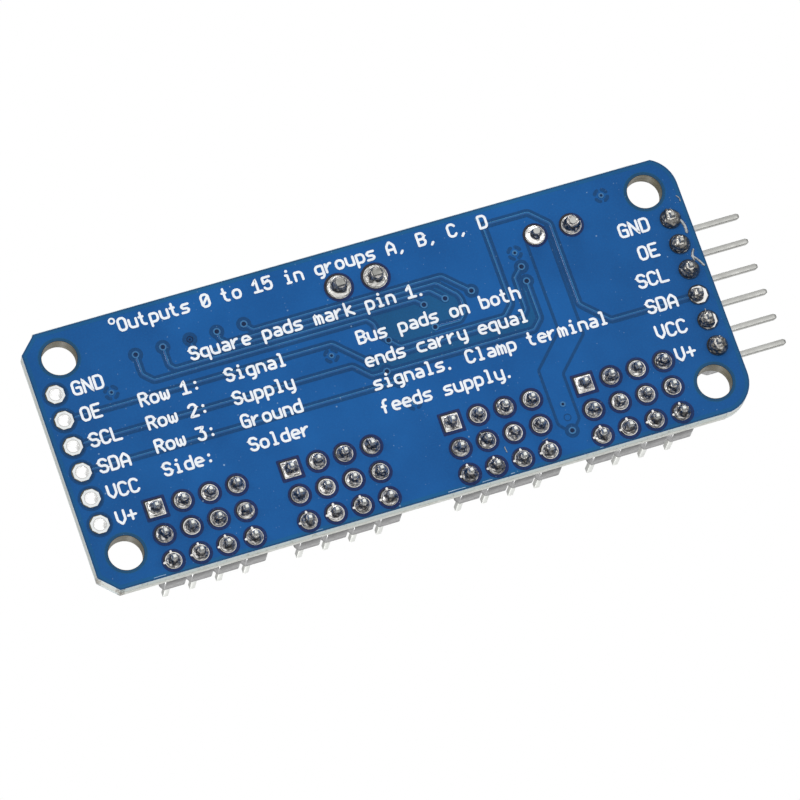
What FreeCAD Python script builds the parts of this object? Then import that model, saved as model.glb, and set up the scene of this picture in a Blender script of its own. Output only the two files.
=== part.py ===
import FreeCAD, Part
import math
import os

# Servo driver board with sixteen three-pin outputs, in millimetres.
# Origin: centre of the four mounting holes, on the underside (solder side) of the board.
# +Z points out of the component side, +X runs along the board away from the bus header,
# and +Y points towards the screw terminal.

Vec = FreeCAD.Vector
UP = Vec(0, 0, 1)

# Board.
PITCH = 2.54
BOARD_THICKNESS = 1.6
BOARD_HALF_LENGTH = 31.1
BOARD_BACK_Y = 12.3
BOARD_FRONT_Y = -12.65
SCORE_HEIGHT = 0.5
SCORE_REACH = 0.2
MOUNT_X = 11 * PITCH
MOUNT_Y = 3.75 * PITCH
MOUNT_RADIUS = 1.6
CORNER_RADIUS = BOARD_HALF_LENGTH - MOUNT_X
CORNER_BEVEL = 1.6

# Servo outputs: four groups of four columns, three rows deep.
GROUP_CENTRES_X = [step * PITCH for step in (-8, -3, 3, 8)]
GROUP_NAMES = ["a", "b", "c", "d"]
ROW_Y = {"signal": -2.5 * PITCH, "power": -3.5 * PITCH, "ground": -4.5 * PITCH}
COLUMNS = 4

# Header pins and their moulded strips.
PIN_SIDE = 0.5
PIN_TIP_SIDE = 0.28
PIN_TIP_LENGTH = 0.25
PIN_TAIL = 1.4
PIN_REACH = 5.85
PIN_HOLE_RADIUS = 0.5
STRIP_DEPTH = 2.5
STRIP_HEIGHT = 2.54
STRIP_GROOVE_REACH = 0.3
STRIP_GROOVE_DEPTH = 0.45
STRIP_PIN_CLEARANCE = 0.01

# Bus connections at the two short ends.
SIDE_PAD_X = 29.34
SIDE_PAD_COUNT = 6
BENT_RUN_Z = 4.9
BENT_RADIUS = 0.7
BENT_TIP_X = -36.8
BARREL_BORE_RADIUS = 0.55
BARREL_DRILL_RADIUS = 0.6
BARREL_PAD_FLATS = 1.63
BARREL_PAD_THICKNESS = 0.05

# Solder.
SOLDER_HOLE_CLEARANCE = 0.01
SOLDER_FILL_TOP = 1.5
PIN_SOLDER = {"pad_radius": 0.77, "collar_radius": 0.53, "height": 0.85, "bulge": 0.07}
TERMINAL_SOLDER = {"pad_radius": 1.1, "collar_radius": 0.66, "height": 1.1, "bulge": 0.12}
CAPACITOR_SOLDER = {"pad_radius": 0.92, "collar_radius": 0.42, "height": 0.95, "bulge": 0.08}

# Screw terminal, two poles with rising clamps.
POLE_PITCH = 3.5
POLE_Y = 8.75
POLES = {"positive": -POLE_PITCH / 2, "negative": POLE_PITCH / 2}
TERMINAL_HALF_WIDTH = 3.6
TERMINAL_REAR_Y = 5.2
TERMINAL_FRONT_Y = 12.2
TERMINAL_TOP = 10.4
TERMINAL_BEVEL = 1.1
CHAMBER_HALF_WIDTH = 1.45
CHAMBER_REAR_Y = 5.8
CHAMBER_FRONT_Y = 10.5
CHAMBER_CEILING = 8.9
ENTRY_WIDTH = 2.2
ENTRY_LOW_Z = 2.9
ENTRY_HIGH_Z = 5.1
ENTRY_FLARE = 0.3
TERMINAL_DRILL_RADIUS = 0.65
TAIL_WIDTH = 0.9
TAIL_DEPTH = 0.7
TAIL_LENGTH = 1.4
CONTACT_HALF_WIDTH = 0.75
CONTACT_REAR_Y = 6.0
CONTACT_REAR_DEPTH = 0.5
CONTACT_BASE_Z = 1.7
CONTACT_BASE_THICKNESS = 0.4
CONTACT_BAR_TOP = 5.6
CONTACT_BAR_END_Y = 10.3

# Clamp screws and cages. The cage rises 2.0 mm over five turns of the 0.4 mm pitch screw.
SCREW_RADIUS = 0.95
SCREW_END_Z = 5.75
SCREW_HEAD_RADIUS = 1.25
SCREW_HEAD_LOW = 9.2
SCREW_HEAD_HIGH = 10.2
SCREW_SLOT_WIDTH = 0.45
SCREW_SLOT_DEPTH = 0.55
SCREW_RUNNING_CLEARANCE = 0.1
CAGE_THREAD_CLEARANCE = 0.05
CAGE_HALF_WIDTH = 1.35
CAGE_HALF_DEPTH = 1.45
CAGE_LOW_Z = 2.4
CAGE_FLOOR = 0.5
CAGE_WALL = 0.4
CAGE_CROWN_LOW = 5.9
CAGE_CROWN_HIGH = 6.8

# Radial smoothing capacitor.
CAP_X = -18.7
CAP_Y = 8.4
CAP_LEAD_PITCH = 3.5
CAP_LEAD_RADIUS = 0.3
CAP_DRILL_RADIUS = 0.45
CAP_LEAD_TAIL = 1.2
CAP_SLEEVE_RADIUS = 4.0
CAP_SLEEVE_WALL = 0.12
CAP_CAN_RADIUS = 3.87
CAP_CAN_WALL = 0.25
CAP_BOTTOM_Z = 1.85
CAP_TOP_Z = 13.4
CAP_CRIMP_Z = 3.5
CAP_CRIMP_DEPTH = 0.35
CAP_CRIMP_HALF_HEIGHT = 0.35
CAP_LIP_WIDTH = 0.7
BUNG_TOP_Z = 3.1
WINDING_RADIUS = 3.2
WINDING_LOW_Z = 3.9
WINDING_HIGH_Z = 12.6
WINDING_CORE_RADIUS = 0.4

# Driver chip: 28 leads at 0.65 mm pitch.
CHIP_X = -4.6
CHIP_Y = 1.2
CHIP_LENGTH = 9.7
CHIP_DEPTH = 4.4
CHIP_HEIGHT = 1.0
CHIP_STANDOFF = 0.1
CHIP_LEAD_PITCH = 0.65
CHIP_LEADS_PER_SIDE = 14
CHIP_LEAD_WIDTH = 0.25
CHIP_LEAD_REACH = 1.0
MOULD_DRAFT = 0.12
DIMPLE_RADIUS = 0.45
DIMPLE_DEPTH = 0.06
LEAD_THICKNESS = 0.15

# Reverse-polarity transistor in a three-lead package.
TRANSISTOR_X = -9.4
TRANSISTOR_Y = 8.6
TRANSISTOR_LENGTH = 2.9
TRANSISTOR_DEPTH = 1.3
TRANSISTOR_HEIGHT = 1.0
TRANSISTOR_LEAD_WIDTH = 0.42
TRANSISTOR_LEAD_SPACING = 0.95
TRANSISTOR_LEAD_REACH = 0.6

# Four-element resistor arrays, one behind each output group.
ARRAY_Y = -3.7
ARRAY_LENGTH = 3.2
ARRAY_DEPTH = 1.6
ARRAY_HEIGHT = 0.55
ARRAY_ELEMENT_PITCH = 0.8
ARRAY_PAD_WIDTH = 0.45

# Two-terminal chips: length and depth of the body, and where each one sits.
CHIP_PART_LENGTH = 2.0
CHIP_PART_DEPTH = 1.25
CHIP_CAP_LENGTH = 0.4
CHIP_CAP_SKIN = 0.03
RESISTOR_HEIGHT = 0.5
RESISTOR_PLACES = [(-24.0, 2.6), (-24.0, 0.6), (-24.0, -1.4), (-13.4, 0.4)]
CERAMIC_HEIGHT = 0.9
CERAMIC_PLACES = [(3.4, 2.9), (3.4, 0.9), (-12.9, 4.6)]
LED_X = -13.4
LED_Y = 2.5
LED_BASE_HEIGHT = 0.35
LED_LENS_HEIGHT = 0.4
LED_LENS_LENGTH = 1.3
PART_LIFT = 0.03


def block(x_low, x_high, y_low, y_high, z_low, z_high):
    """Box between two corners."""
    corner = Vec(x_low, y_low, z_low)
    return Part.makeBox(x_high - x_low, y_high - y_low, z_high - z_low, corner)


def centred_block(x, y, length, depth, z_low, z_high):
    """Box centred on a place in plan."""
    return block(x - length / 2, x + length / 2, y - depth / 2, y + depth / 2, z_low, z_high)


def rod(x, y, radius, z_low, z_high):
    """Upright cylinder."""
    return Part.makeCylinder(radius, z_high - z_low, Vec(x, y, z_low))


def prism(points, direction):
    """Flat closed outline moved along a direction."""
    outline = Part.makePolygon(points + points[:1])
    return Part.Face(outline).extrude(direction)


def rectangle_wire(x, y, length, depth, z):
    """Level rectangle centred on a place in plan."""
    half_x = length / 2
    half_y = depth / 2
    corners = [(-half_x, -half_y), (half_x, -half_y), (half_x, half_y), (-half_x, half_y)]
    points = [Vec(x + dx, y + dy, z) for dx, dy in corners]
    return Part.makePolygon(points + points[:1])


def ruled_solid(wires):
    """Straight-sided solid through closed outlines."""
    return Part.makeLoft(wires, True, True)


def turned(outline):
    """Full turn about Z of a closed outline given as (radius, height) points."""
    points = [Vec(radius, 0, height) for radius, height in outline]
    wire = Part.makePolygon(points + points[:1])
    return Part.Face(wire).revolve(Vec(0, 0, 0), UP, 360)


def moved(shape, x, y, z=0):
    """Copy of a shape at another place."""
    copy = shape.copy()
    copy.translate(Vec(x, y, z))
    return copy


def save(node, solids):
    """Write one node, which may hold several separate solids."""
    shape = solids[0] if len(solids) == 1 else Part.makeCompound(solids)
    shape.exportStep("parts/" + node + ".step")


def column_places_x(centre_x, count):
    """Evenly pitched columns about a centre."""
    first = centre_x - (count - 1) * PITCH / 2
    return [first + index * PITCH for index in range(count)]


def side_pad_places_y():
    """Six bus connections, evenly pitched about the middle of the board."""
    return [(2.5 - index) * PITCH for index in range(SIDE_PAD_COUNT)]


def capacitor_lead_places():
    """The two lead places of the smoothing capacitor."""
    return [(CAP_X - CAP_LEAD_PITCH / 2, CAP_Y), (CAP_X + CAP_LEAD_PITCH / 2, CAP_Y)]


# ---------------------------------------------------------------- board


def upright_edges(shape, direction):
    """Upright edges at one end of a plate: direction is -1 or 1 along X."""
    edges = []
    for edge in shape.Edges:
        is_upright = abs(edge.tangentAt(edge.FirstParameter).z) > 0.5
        if is_upright and edge.CenterOfMass.x * direction > BOARD_HALF_LENGTH - 0.1:
            edges.append(edge)
    return edges


def board_outline():
    """Plate trimmed along both long edges, round at the header end and bevelled at the other.

    The round corners share their centres with the mounting holes.
    """
    half_width = MOUNT_Y + CORNER_RADIUS
    plate = block(
        -BOARD_HALF_LENGTH, BOARD_HALF_LENGTH, -half_width, half_width, 0, BOARD_THICKNESS)
    rounded = plate.makeFillet(CORNER_RADIUS, upright_edges(plate, -1))
    trim = block(
        -BOARD_HALF_LENGTH, BOARD_HALF_LENGTH, BOARD_FRONT_Y, BOARD_BACK_Y, 0, BOARD_THICKNESS)
    trimmed = rounded.common(trim)
    return trimmed.makeChamfer(CORNER_BEVEL, upright_edges(trimmed, 1))


def score_web(edge_y, outward):
    """Ridge left along a long edge where the board was snapped from its scored panel."""
    start_x = -MOUNT_X
    ridge_y = edge_y + outward * SCORE_REACH
    section = [
        Vec(start_x, edge_y, 0),
        Vec(start_x, ridge_y, SCORE_HEIGHT),
        Vec(start_x, ridge_y, BOARD_THICKNESS - SCORE_HEIGHT),
        Vec(start_x, edge_y, BOARD_THICKNESS),
    ]
    end_x = BOARD_HALF_LENGTH - CORNER_BEVEL
    return prism(section, Vec(end_x - start_x, 0, 0))


def drill_list():
    """Place and radius of every hole through the board."""
    drills = []
    for x in (-MOUNT_X, MOUNT_X):
        for y in (-MOUNT_Y, MOUNT_Y):
            drills.append((x, y, MOUNT_RADIUS))
    for centre_x in GROUP_CENTRES_X:
        for x in column_places_x(centre_x, COLUMNS):
            for y in ROW_Y.values():
                drills.append((x, y, PIN_HOLE_RADIUS))
    for y in side_pad_places_y():
        drills.append((-SIDE_PAD_X, y, PIN_HOLE_RADIUS))
        drills.append((SIDE_PAD_X, y, BARREL_DRILL_RADIUS))
    for x in POLES.values():
        drills.append((x, POLE_Y, TERMINAL_DRILL_RADIUS))
    for x, y in capacitor_lead_places():
        drills.append((x, y, CAP_DRILL_RADIUS))
    return drills


def circuit_board():
    """Laminate board with its snapped edges and every hole drilled."""
    webs = [score_web(BOARD_FRONT_Y, -1), score_web(BOARD_BACK_Y, 1)]
    holes = [rod(x, y, radius, -1, BOARD_THICKNESS + 1) for x, y, radius in drill_list()]
    return board_outline().fuse(webs).cut(holes)


def breakout_barrel(y):
    """Plated hole lining with an eight-sided pad on each face."""
    corner_radius = BARREL_PAD_FLATS / 2 / math.cos(math.pi / 8)
    pads = []
    for z in (-BARREL_PAD_THICKNESS, BOARD_THICKNESS):
        corners = []
        for index in range(8):
            angle = (index + 0.5) * math.pi / 4
            corners.append(Vec(
                SIDE_PAD_X + corner_radius * math.cos(angle),
                y + corner_radius * math.sin(angle),
                z))
        pads.append(prism(corners, Vec(0, 0, BARREL_PAD_THICKNESS)))
    lining = rod(SIDE_PAD_X, y, BARREL_DRILL_RADIUS, 0, BOARD_THICKNESS)
    bore = rod(SIDE_PAD_X, y, BARREL_BORE_RADIUS, -1, BOARD_THICKNESS + 1)
    return pads[0].fuse([lining, pads[1]]).cut(bore)


# ---------------------------------------------------------------- header strips and pins


def strip_housing(count):
    """Moulded strip along X, centred on the origin in plan, with grooves between its cells."""
    half_depth = STRIP_DEPTH / 2
    half_cell = PITCH / 2
    flat = half_cell - STRIP_GROOVE_REACH
    front = []
    back = []
    for x in column_places_x(0, count):
        front.append(Vec(x - half_cell, -half_depth + STRIP_GROOVE_DEPTH, 0))
        front.append(Vec(x - flat, -half_depth, 0))
        front.append(Vec(x + flat, -half_depth, 0))
        back.append(Vec(x - half_cell, half_depth - STRIP_GROOVE_DEPTH, 0))
        back.append(Vec(x - flat, half_depth, 0))
        back.append(Vec(x + flat, half_depth, 0))
    end_x = count * half_cell
    front.append(Vec(end_x, -half_depth + STRIP_GROOVE_DEPTH, 0))
    back.append(Vec(end_x, half_depth - STRIP_GROOVE_DEPTH, 0))
    body = prism(front + back[::-1], Vec(0, 0, STRIP_HEIGHT))
    hole_side = PIN_SIDE + 2 * STRIP_PIN_CLEARANCE
    holes = []
    for x in column_places_x(0, count):
        holes.append(centred_block(x, 0, hole_side, hole_side, -1, STRIP_HEIGHT + 1))
    return body.cut(holes)


def straight_pin(x, y):
    """Square post with a tapered end each side of the board."""
    low = -PIN_TAIL
    high = BOARD_THICKNESS + STRIP_HEIGHT + PIN_REACH
    sections = [
        (low, PIN_TIP_SIDE),
        (low + PIN_TIP_LENGTH, PIN_SIDE),
        (high - PIN_TIP_LENGTH, PIN_SIDE),
        (high, PIN_TIP_SIDE),
    ]
    return ruled_solid([rectangle_wire(x, y, side, side, z) for z, side in sections])


def bent_pin(y):
    """Square post that rises through its strip and turns outward past the board's end."""
    x = -SIDE_PAD_X
    bend_z = BENT_RUN_Z - BENT_RADIUS
    rise = ruled_solid([
        rectangle_wire(x, y, PIN_TIP_SIDE, PIN_TIP_SIDE, -PIN_TAIL),
        rectangle_wire(x, y, PIN_SIDE, PIN_SIDE, -PIN_TAIL + PIN_TIP_LENGTH),
        rectangle_wire(x, y, PIN_SIDE, PIN_SIDE, bend_z),
    ])
    section = Part.Face(rectangle_wire(x, y, PIN_SIDE, PIN_SIDE, bend_z))
    elbow = section.revolve(Vec(x - BENT_RADIUS, y, bend_z), Vec(0, -1, 0), 90)
    run_length = x - BENT_RADIUS - BENT_TIP_X
    run = ruled_solid([
        rectangle_wire(0, 0, PIN_SIDE, PIN_SIDE, 0),
        rectangle_wire(0, 0, PIN_SIDE, PIN_SIDE, run_length - PIN_TIP_LENGTH),
        rectangle_wire(0, 0, PIN_TIP_SIDE, PIN_TIP_SIDE, run_length),
    ])
    run.rotate(Vec(0, 0, 0), Vec(0, 1, 0), -90)
    run.translate(Vec(x - BENT_RADIUS, y, BENT_RUN_Z))
    return rise.fuse([elbow, run]).removeSplitter()


def solder_joint(x, y, hole_radius, pin, pad_radius, collar_radius, height, bulge):
    """Cone of solder under the board that also fills the hole round its pin."""
    fill_radius = hole_radius - SOLDER_HOLE_CLEARANCE
    top = Vec(0, 0, SOLDER_FILL_TOP)
    shoulder = Vec(fill_radius, 0, SOLDER_FILL_TOP)
    neck = Vec(fill_radius, 0, 0)
    rim = Vec(pad_radius, 0, 0)
    flank = Vec((pad_radius + collar_radius) / 2 - bulge, 0, -height / 2 + bulge)
    collar = Vec(collar_radius, 0, -height)
    bottom = Vec(0, 0, -height)
    edges = [
        Part.makeLine(top, shoulder),
        Part.makeLine(shoulder, neck),
        Part.makeLine(neck, rim),
        Part.Arc(rim, flank, collar).toShape(),
        Part.makeLine(collar, bottom),
        Part.makeLine(bottom, top),
    ]
    cone = Part.Face(Part.Wire(edges)).revolve(Vec(0, 0, 0), UP, 360)
    return moved(cone, x, y).cut(pin)


def servo_group(name, centre_x):
    """One output group: three coloured strips, twelve pins and twelve solder joints."""
    pins = []
    joints = []
    for row, y in ROW_Y.items():
        housing = moved(strip_housing(COLUMNS), centre_x, y, BOARD_THICKNESS)
        save(row + "_strip_" + name, [housing])
        for x in column_places_x(centre_x, COLUMNS):
            pin = straight_pin(x, y)
            pins.append(pin)
            joints.append(solder_joint(x, y, PIN_HOLE_RADIUS, pin, **PIN_SOLDER))
    save("servo_pins_" + name, pins)
    save("servo_solder_" + name, joints)


def bus_header():
    """Six-way header at the end of the board, with pins bent outward above its strip."""
    housing = strip_housing(SIDE_PAD_COUNT)
    housing.rotate(Vec(0, 0, 0), UP, 90)
    housing.translate(Vec(-SIDE_PAD_X, 0, BOARD_THICKNESS))
    save("bus_header_strip", [housing])
    pins = [bent_pin(y) for y in side_pad_places_y()]
    save("bus_header_pins", pins)
    joints = []
    for y, pin in zip(side_pad_places_y(), pins):
        joints.append(solder_joint(-SIDE_PAD_X, y, PIN_HOLE_RADIUS, pin, **PIN_SOLDER))
    save("bus_header_solder", joints)


# ---------------------------------------------------------------- screw terminal


def terminal_housing():
    """Two-pole body, open underneath, with flared wire entries and screw wells."""
    side = [
        (TERMINAL_REAR_Y, BOARD_THICKNESS),
        (TERMINAL_FRONT_Y, BOARD_THICKNESS),
        (TERMINAL_FRONT_Y, TERMINAL_TOP - 2 * TERMINAL_BEVEL),
        (TERMINAL_FRONT_Y - TERMINAL_BEVEL, TERMINAL_TOP),
        (TERMINAL_REAR_Y + TERMINAL_BEVEL, TERMINAL_TOP),
        (TERMINAL_REAR_Y, TERMINAL_TOP - TERMINAL_BEVEL),
    ]
    points = [Vec(-TERMINAL_HALF_WIDTH, y, z) for y, z in side]
    body = prism(points, Vec(2 * TERMINAL_HALF_WIDTH, 0, 0))
    cuts = []
    for x in POLES.values():
        cuts.append(block(
            x - CHAMBER_HALF_WIDTH, x + CHAMBER_HALF_WIDTH,
            CHAMBER_REAR_Y, CHAMBER_FRONT_Y,
            BOARD_THICKNESS - 1, CHAMBER_CEILING))
        cuts.append(wire_entry(x))
        well_radius = SCREW_HEAD_RADIUS + SCREW_RUNNING_CLEARANCE
        cuts.append(rod(x, POLE_Y, well_radius, SCREW_HEAD_LOW, TERMINAL_TOP + 1))
        neck_radius = SCREW_RADIUS + SCREW_RUNNING_CLEARANCE
        cuts.append(rod(x, POLE_Y, neck_radius, CHAMBER_CEILING - 0.5, SCREW_HEAD_LOW + 0.5))
    return body.cut(cuts)


def wire_entry(x):
    """Square wire entry that widens towards the front face."""
    centre_z = (ENTRY_LOW_Z + ENTRY_HIGH_Z) / 2
    height = ENTRY_HIGH_Z - ENTRY_LOW_Z
    depth = TERMINAL_FRONT_Y - CHAMBER_FRONT_Y
    funnel = ruled_solid([
        rectangle_wire(0, 0, ENTRY_WIDTH, height, -0.5),
        rectangle_wire(0, 0, ENTRY_WIDTH, height, depth / 2),
        rectangle_wire(0, 0, ENTRY_WIDTH + 2 * ENTRY_FLARE, height + 2 * ENTRY_FLARE, depth + 0.1),
    ])
    funnel.rotate(Vec(0, 0, 0), Vec(1, 0, 0), -90)
    funnel.translate(Vec(x, CHAMBER_FRONT_Y, centre_z))
    return funnel


def terminal_contact(x):
    """Folded contact strip: solder tail, foot, rear upright and the bar inside the cage."""
    low_x = x - CONTACT_HALF_WIDTH
    high_x = x + CONTACT_HALF_WIDTH
    base_top = CONTACT_BASE_Z + CONTACT_BASE_THICKNESS
    upright_y = CONTACT_REAR_Y + CONTACT_REAR_DEPTH
    bar_low = CONTACT_BAR_TOP - CONTACT_REAR_DEPTH
    tail = centred_block(x, POLE_Y, TAIL_WIDTH, TAIL_DEPTH, -TAIL_LENGTH, base_top)
    foot_end = POLE_Y + TAIL_DEPTH / 2
    foot = block(low_x, high_x, CONTACT_REAR_Y, foot_end, CONTACT_BASE_Z, base_top)
    upright = block(low_x, high_x, CONTACT_REAR_Y, upright_y, CONTACT_BASE_Z, CONTACT_BAR_TOP)
    bar = block(low_x, high_x, CONTACT_REAR_Y, CONTACT_BAR_END_Y, bar_low, CONTACT_BAR_TOP)
    return tail.fuse([foot, upright, bar]).removeSplitter()


def clamp_cage(x):
    """Window-shaped clamp threaded on the screw, at the bottom of its travel."""
    outer = centred_block(
        x, POLE_Y, 2 * CAGE_HALF_WIDTH, 2 * CAGE_HALF_DEPTH, CAGE_LOW_Z, CAGE_CROWN_HIGH)
    window = centred_block(
        x, POLE_Y, 2 * (CAGE_HALF_WIDTH - CAGE_WALL), 2 * CAGE_HALF_DEPTH + 1,
        CAGE_LOW_Z + CAGE_FLOOR, CAGE_CROWN_LOW)
    thread = rod(
        x, POLE_Y, SCREW_RADIUS + CAGE_THREAD_CLEARANCE, CAGE_CROWN_LOW - 0.5, CAGE_CROWN_HIGH + 1)
    return outer.cut([window, thread])


def clamp_screw(x):
    """Slotted cheese-head screw that turns in the housing without rising."""
    shank = rod(x, POLE_Y, SCREW_RADIUS, SCREW_END_Z, SCREW_HEAD_LOW)
    head = rod(x, POLE_Y, SCREW_HEAD_RADIUS, SCREW_HEAD_LOW, SCREW_HEAD_HIGH)
    slot = centred_block(
        x, POLE_Y, 4 * SCREW_HEAD_RADIUS, SCREW_SLOT_WIDTH,
        SCREW_HEAD_HIGH - SCREW_SLOT_DEPTH, SCREW_HEAD_HIGH + 1)
    return shank.fuse(head).removeSplitter().cut(slot)


def screw_terminal():
    """Housing, contacts, cages, screws and the solder under the tails."""
    save("terminal_housing", [terminal_housing()])
    contacts = [terminal_contact(x) for x in POLES.values()]
    save("terminal_contacts", contacts)
    joints = []
    for x, contact in zip(POLES.values(), contacts):
        joints.append(solder_joint(x, POLE_Y, TERMINAL_DRILL_RADIUS, contact, **TERMINAL_SOLDER))
    save("terminal_solder", joints)
    for pole, x in POLES.items():
        save("clamp_screw_" + pole, [clamp_screw(x)])
        save("clamp_cage_" + pole, [clamp_cage(x)])


# ---------------------------------------------------------------- smoothing capacitor


def capacitor_can():
    """Drawn can, open at the bottom, crimped in above its rubber seal."""
    outer = CAP_CAN_RADIUS
    inner = CAP_CAN_RADIUS - CAP_CAN_WALL
    crimp_outer = outer - CAP_CRIMP_DEPTH
    crimp_inner = inner - CAP_CRIMP_DEPTH
    crimp_low = CAP_CRIMP_Z - CAP_CRIMP_HALF_HEIGHT
    crimp_high = CAP_CRIMP_Z + CAP_CRIMP_HALF_HEIGHT
    return turned([
        (outer, CAP_BOTTOM_Z),
        (outer, crimp_low),
        (crimp_outer, CAP_CRIMP_Z),
        (outer, crimp_high),
        (outer, CAP_TOP_Z),
        (0, CAP_TOP_Z),
        (0, CAP_TOP_Z - CAP_CAN_WALL),
        (inner, CAP_TOP_Z - CAP_CAN_WALL),
        (inner, crimp_high),
        (crimp_inner, CAP_CRIMP_Z),
        (inner, crimp_low),
        (inner, CAP_BOTTOM_Z),
    ])


def capacitor_sleeve():
    """Shrunk sleeve that follows the can and folds over its top edge."""
    outer = CAP_SLEEVE_RADIUS
    inner = CAP_SLEEVE_RADIUS - CAP_SLEEVE_WALL
    crimp_low = CAP_CRIMP_Z - CAP_CRIMP_HALF_HEIGHT
    crimp_high = CAP_CRIMP_Z + CAP_CRIMP_HALF_HEIGHT
    low = CAP_BOTTOM_Z - CAP_SLEEVE_WALL
    high = CAP_TOP_Z + 0.01
    return turned([
        (outer, low),
        (outer, crimp_low),
        (outer - CAP_CRIMP_DEPTH, CAP_CRIMP_Z),
        (outer, crimp_high),
        (outer, high),
        (outer - CAP_SLEEVE_WALL, high + CAP_SLEEVE_WALL),
        (inner - CAP_LIP_WIDTH, high + CAP_SLEEVE_WALL),
        (inner - CAP_LIP_WIDTH, high),
        (inner, high),
        (inner, crimp_high),
        (inner - CAP_CRIMP_DEPTH, CAP_CRIMP_Z),
        (inner, crimp_low),
        (inner, low),
    ])


def smoothing_capacitor():
    """Can, sleeve, seal, winding, leads and the solder under the leads."""
    save("capacitor_can", [moved(capacitor_can(), CAP_X, CAP_Y)])
    save("capacitor_sleeve", [moved(capacitor_sleeve(), CAP_X, CAP_Y)])
    leads = []
    joints = []
    for x, y in capacitor_lead_places():
        lead = rod(x, y, CAP_LEAD_RADIUS, -CAP_LEAD_TAIL, WINDING_LOW_Z)
        leads.append(lead)
        joints.append(solder_joint(x, y, CAP_DRILL_RADIUS, lead, **CAPACITOR_SOLDER))
    save("capacitor_leads", leads)
    save("capacitor_solder", joints)
    seal_radius = CAP_CAN_RADIUS - CAP_CAN_WALL - 0.02
    seal = rod(CAP_X, CAP_Y, seal_radius, CAP_BOTTOM_Z, BUNG_TOP_Z)
    lead_holes = []
    for x, y in capacitor_lead_places():
        lead_holes.append(rod(x, y, CAP_LEAD_RADIUS + 0.01, 0, BUNG_TOP_Z + 1))
    save("capacitor_seal", [seal.cut(lead_holes)])
    winding = rod(CAP_X, CAP_Y, WINDING_RADIUS, WINDING_LOW_Z, WINDING_HIGH_Z)
    core = rod(CAP_X, CAP_Y, WINDING_CORE_RADIUS, WINDING_LOW_Z - 1, WINDING_HIGH_Z + 1)
    save("capacitor_winding", [winding.cut(core)])


# ---------------------------------------------------------------- surface-mounted parts


def moulded_body(x, y, length, depth, z_low, height):
    """Moulded package whose four sides draft inwards above and below its waist."""
    small_length = length - 2 * MOULD_DRAFT
    small_depth = depth - 2 * MOULD_DRAFT
    return ruled_solid([
        rectangle_wire(x, y, small_length, small_depth, z_low),
        rectangle_wire(x, y, length, depth, z_low + height / 2),
        rectangle_wire(x, y, small_length, small_depth, z_low + height),
    ])


def gull_wing_lead(x, y, width, reach, waist_z, direction):
    """Formed lead from the waist of a package down to the board."""
    half = LEAD_THICKNESS / 2
    foot_z = BOARD_THICKNESS + PART_LIFT
    shoulder = 0.35 * reach
    heel = 0.55 * reach
    side = [
        (0, waist_z + half),
        (shoulder + half, waist_z + half),
        (heel + half, foot_z + LEAD_THICKNESS),
        (reach, foot_z + LEAD_THICKNESS),
        (reach, foot_z),
        (heel - half, foot_z),
        (shoulder - half, waist_z - half),
        (0, waist_z - half),
    ]
    points = [Vec(x - width / 2, y + direction * offset, z) for offset, z in side]
    return prism(points, Vec(width, 0, 0))


def driver_chip():
    """Long moulded package with fourteen leads on each side and a pin-one dimple."""
    low = BOARD_THICKNESS + CHIP_STANDOFF
    body = moulded_body(CHIP_X, CHIP_Y, CHIP_LENGTH, CHIP_DEPTH, low, CHIP_HEIGHT)
    dimple = rod(
        CHIP_X - CHIP_LENGTH / 2 + 2 * DIMPLE_RADIUS, CHIP_Y - CHIP_DEPTH / 2 + 2 * DIMPLE_RADIUS,
        DIMPLE_RADIUS, low + CHIP_HEIGHT - DIMPLE_DEPTH, low + CHIP_HEIGHT + 1)
    save("driver_chip", [body.cut(dimple)])
    leads = []
    first_x = CHIP_X - (CHIP_LEADS_PER_SIDE - 1) * CHIP_LEAD_PITCH / 2
    for index in range(CHIP_LEADS_PER_SIDE):
        for direction in (-1, 1):
            leads.append(gull_wing_lead(
                first_x + index * CHIP_LEAD_PITCH, CHIP_Y + direction * CHIP_DEPTH / 2,
                CHIP_LEAD_WIDTH, CHIP_LEAD_REACH, low + CHIP_HEIGHT / 2, direction))
    save("driver_chip_leads", leads)


def polarity_transistor():
    """Three-lead package that guards the terminal against a reversed supply."""
    low = BOARD_THICKNESS + CHIP_STANDOFF
    waist_z = low + TRANSISTOR_HEIGHT / 2
    body = moulded_body(
        TRANSISTOR_X, TRANSISTOR_Y, TRANSISTOR_LENGTH, TRANSISTOR_DEPTH, low, TRANSISTOR_HEIGHT)
    save("polarity_transistor", [body])
    places = [(-TRANSISTOR_LEAD_SPACING, -1), (TRANSISTOR_LEAD_SPACING, -1), (0, 1)]
    leads = []
    for offset_x, direction in places:
        leads.append(gull_wing_lead(
            TRANSISTOR_X + offset_x, TRANSISTOR_Y + direction * TRANSISTOR_DEPTH / 2,
            TRANSISTOR_LEAD_WIDTH, TRANSISTOR_LEAD_REACH, waist_z, direction))
    save("polarity_transistor_leads", leads)


def resistor_arrays():
    """Four arrays of series resistors with eight plated ends each."""
    low = BOARD_THICKNESS + PART_LIFT
    high = low + ARRAY_HEIGHT
    bodies = []
    ends = []
    for centre_x in GROUP_CENTRES_X:
        body_depth = ARRAY_DEPTH - 2 * CHIP_CAP_LENGTH
        bodies.append(centred_block(centre_x, ARRAY_Y, ARRAY_LENGTH, body_depth, low, high))
        for index in range(COLUMNS):
            x = centre_x + (index - 1.5) * ARRAY_ELEMENT_PITCH
            for direction in (-1, 1):
                y = ARRAY_Y + direction * (ARRAY_DEPTH - CHIP_CAP_LENGTH) / 2
                ends.append(centred_block(
                    x, y, ARRAY_PAD_WIDTH, CHIP_CAP_LENGTH, low, high + CHIP_CAP_SKIN))
    save("output_resistor_arrays", bodies)
    save("output_resistor_array_ends", ends)


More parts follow.
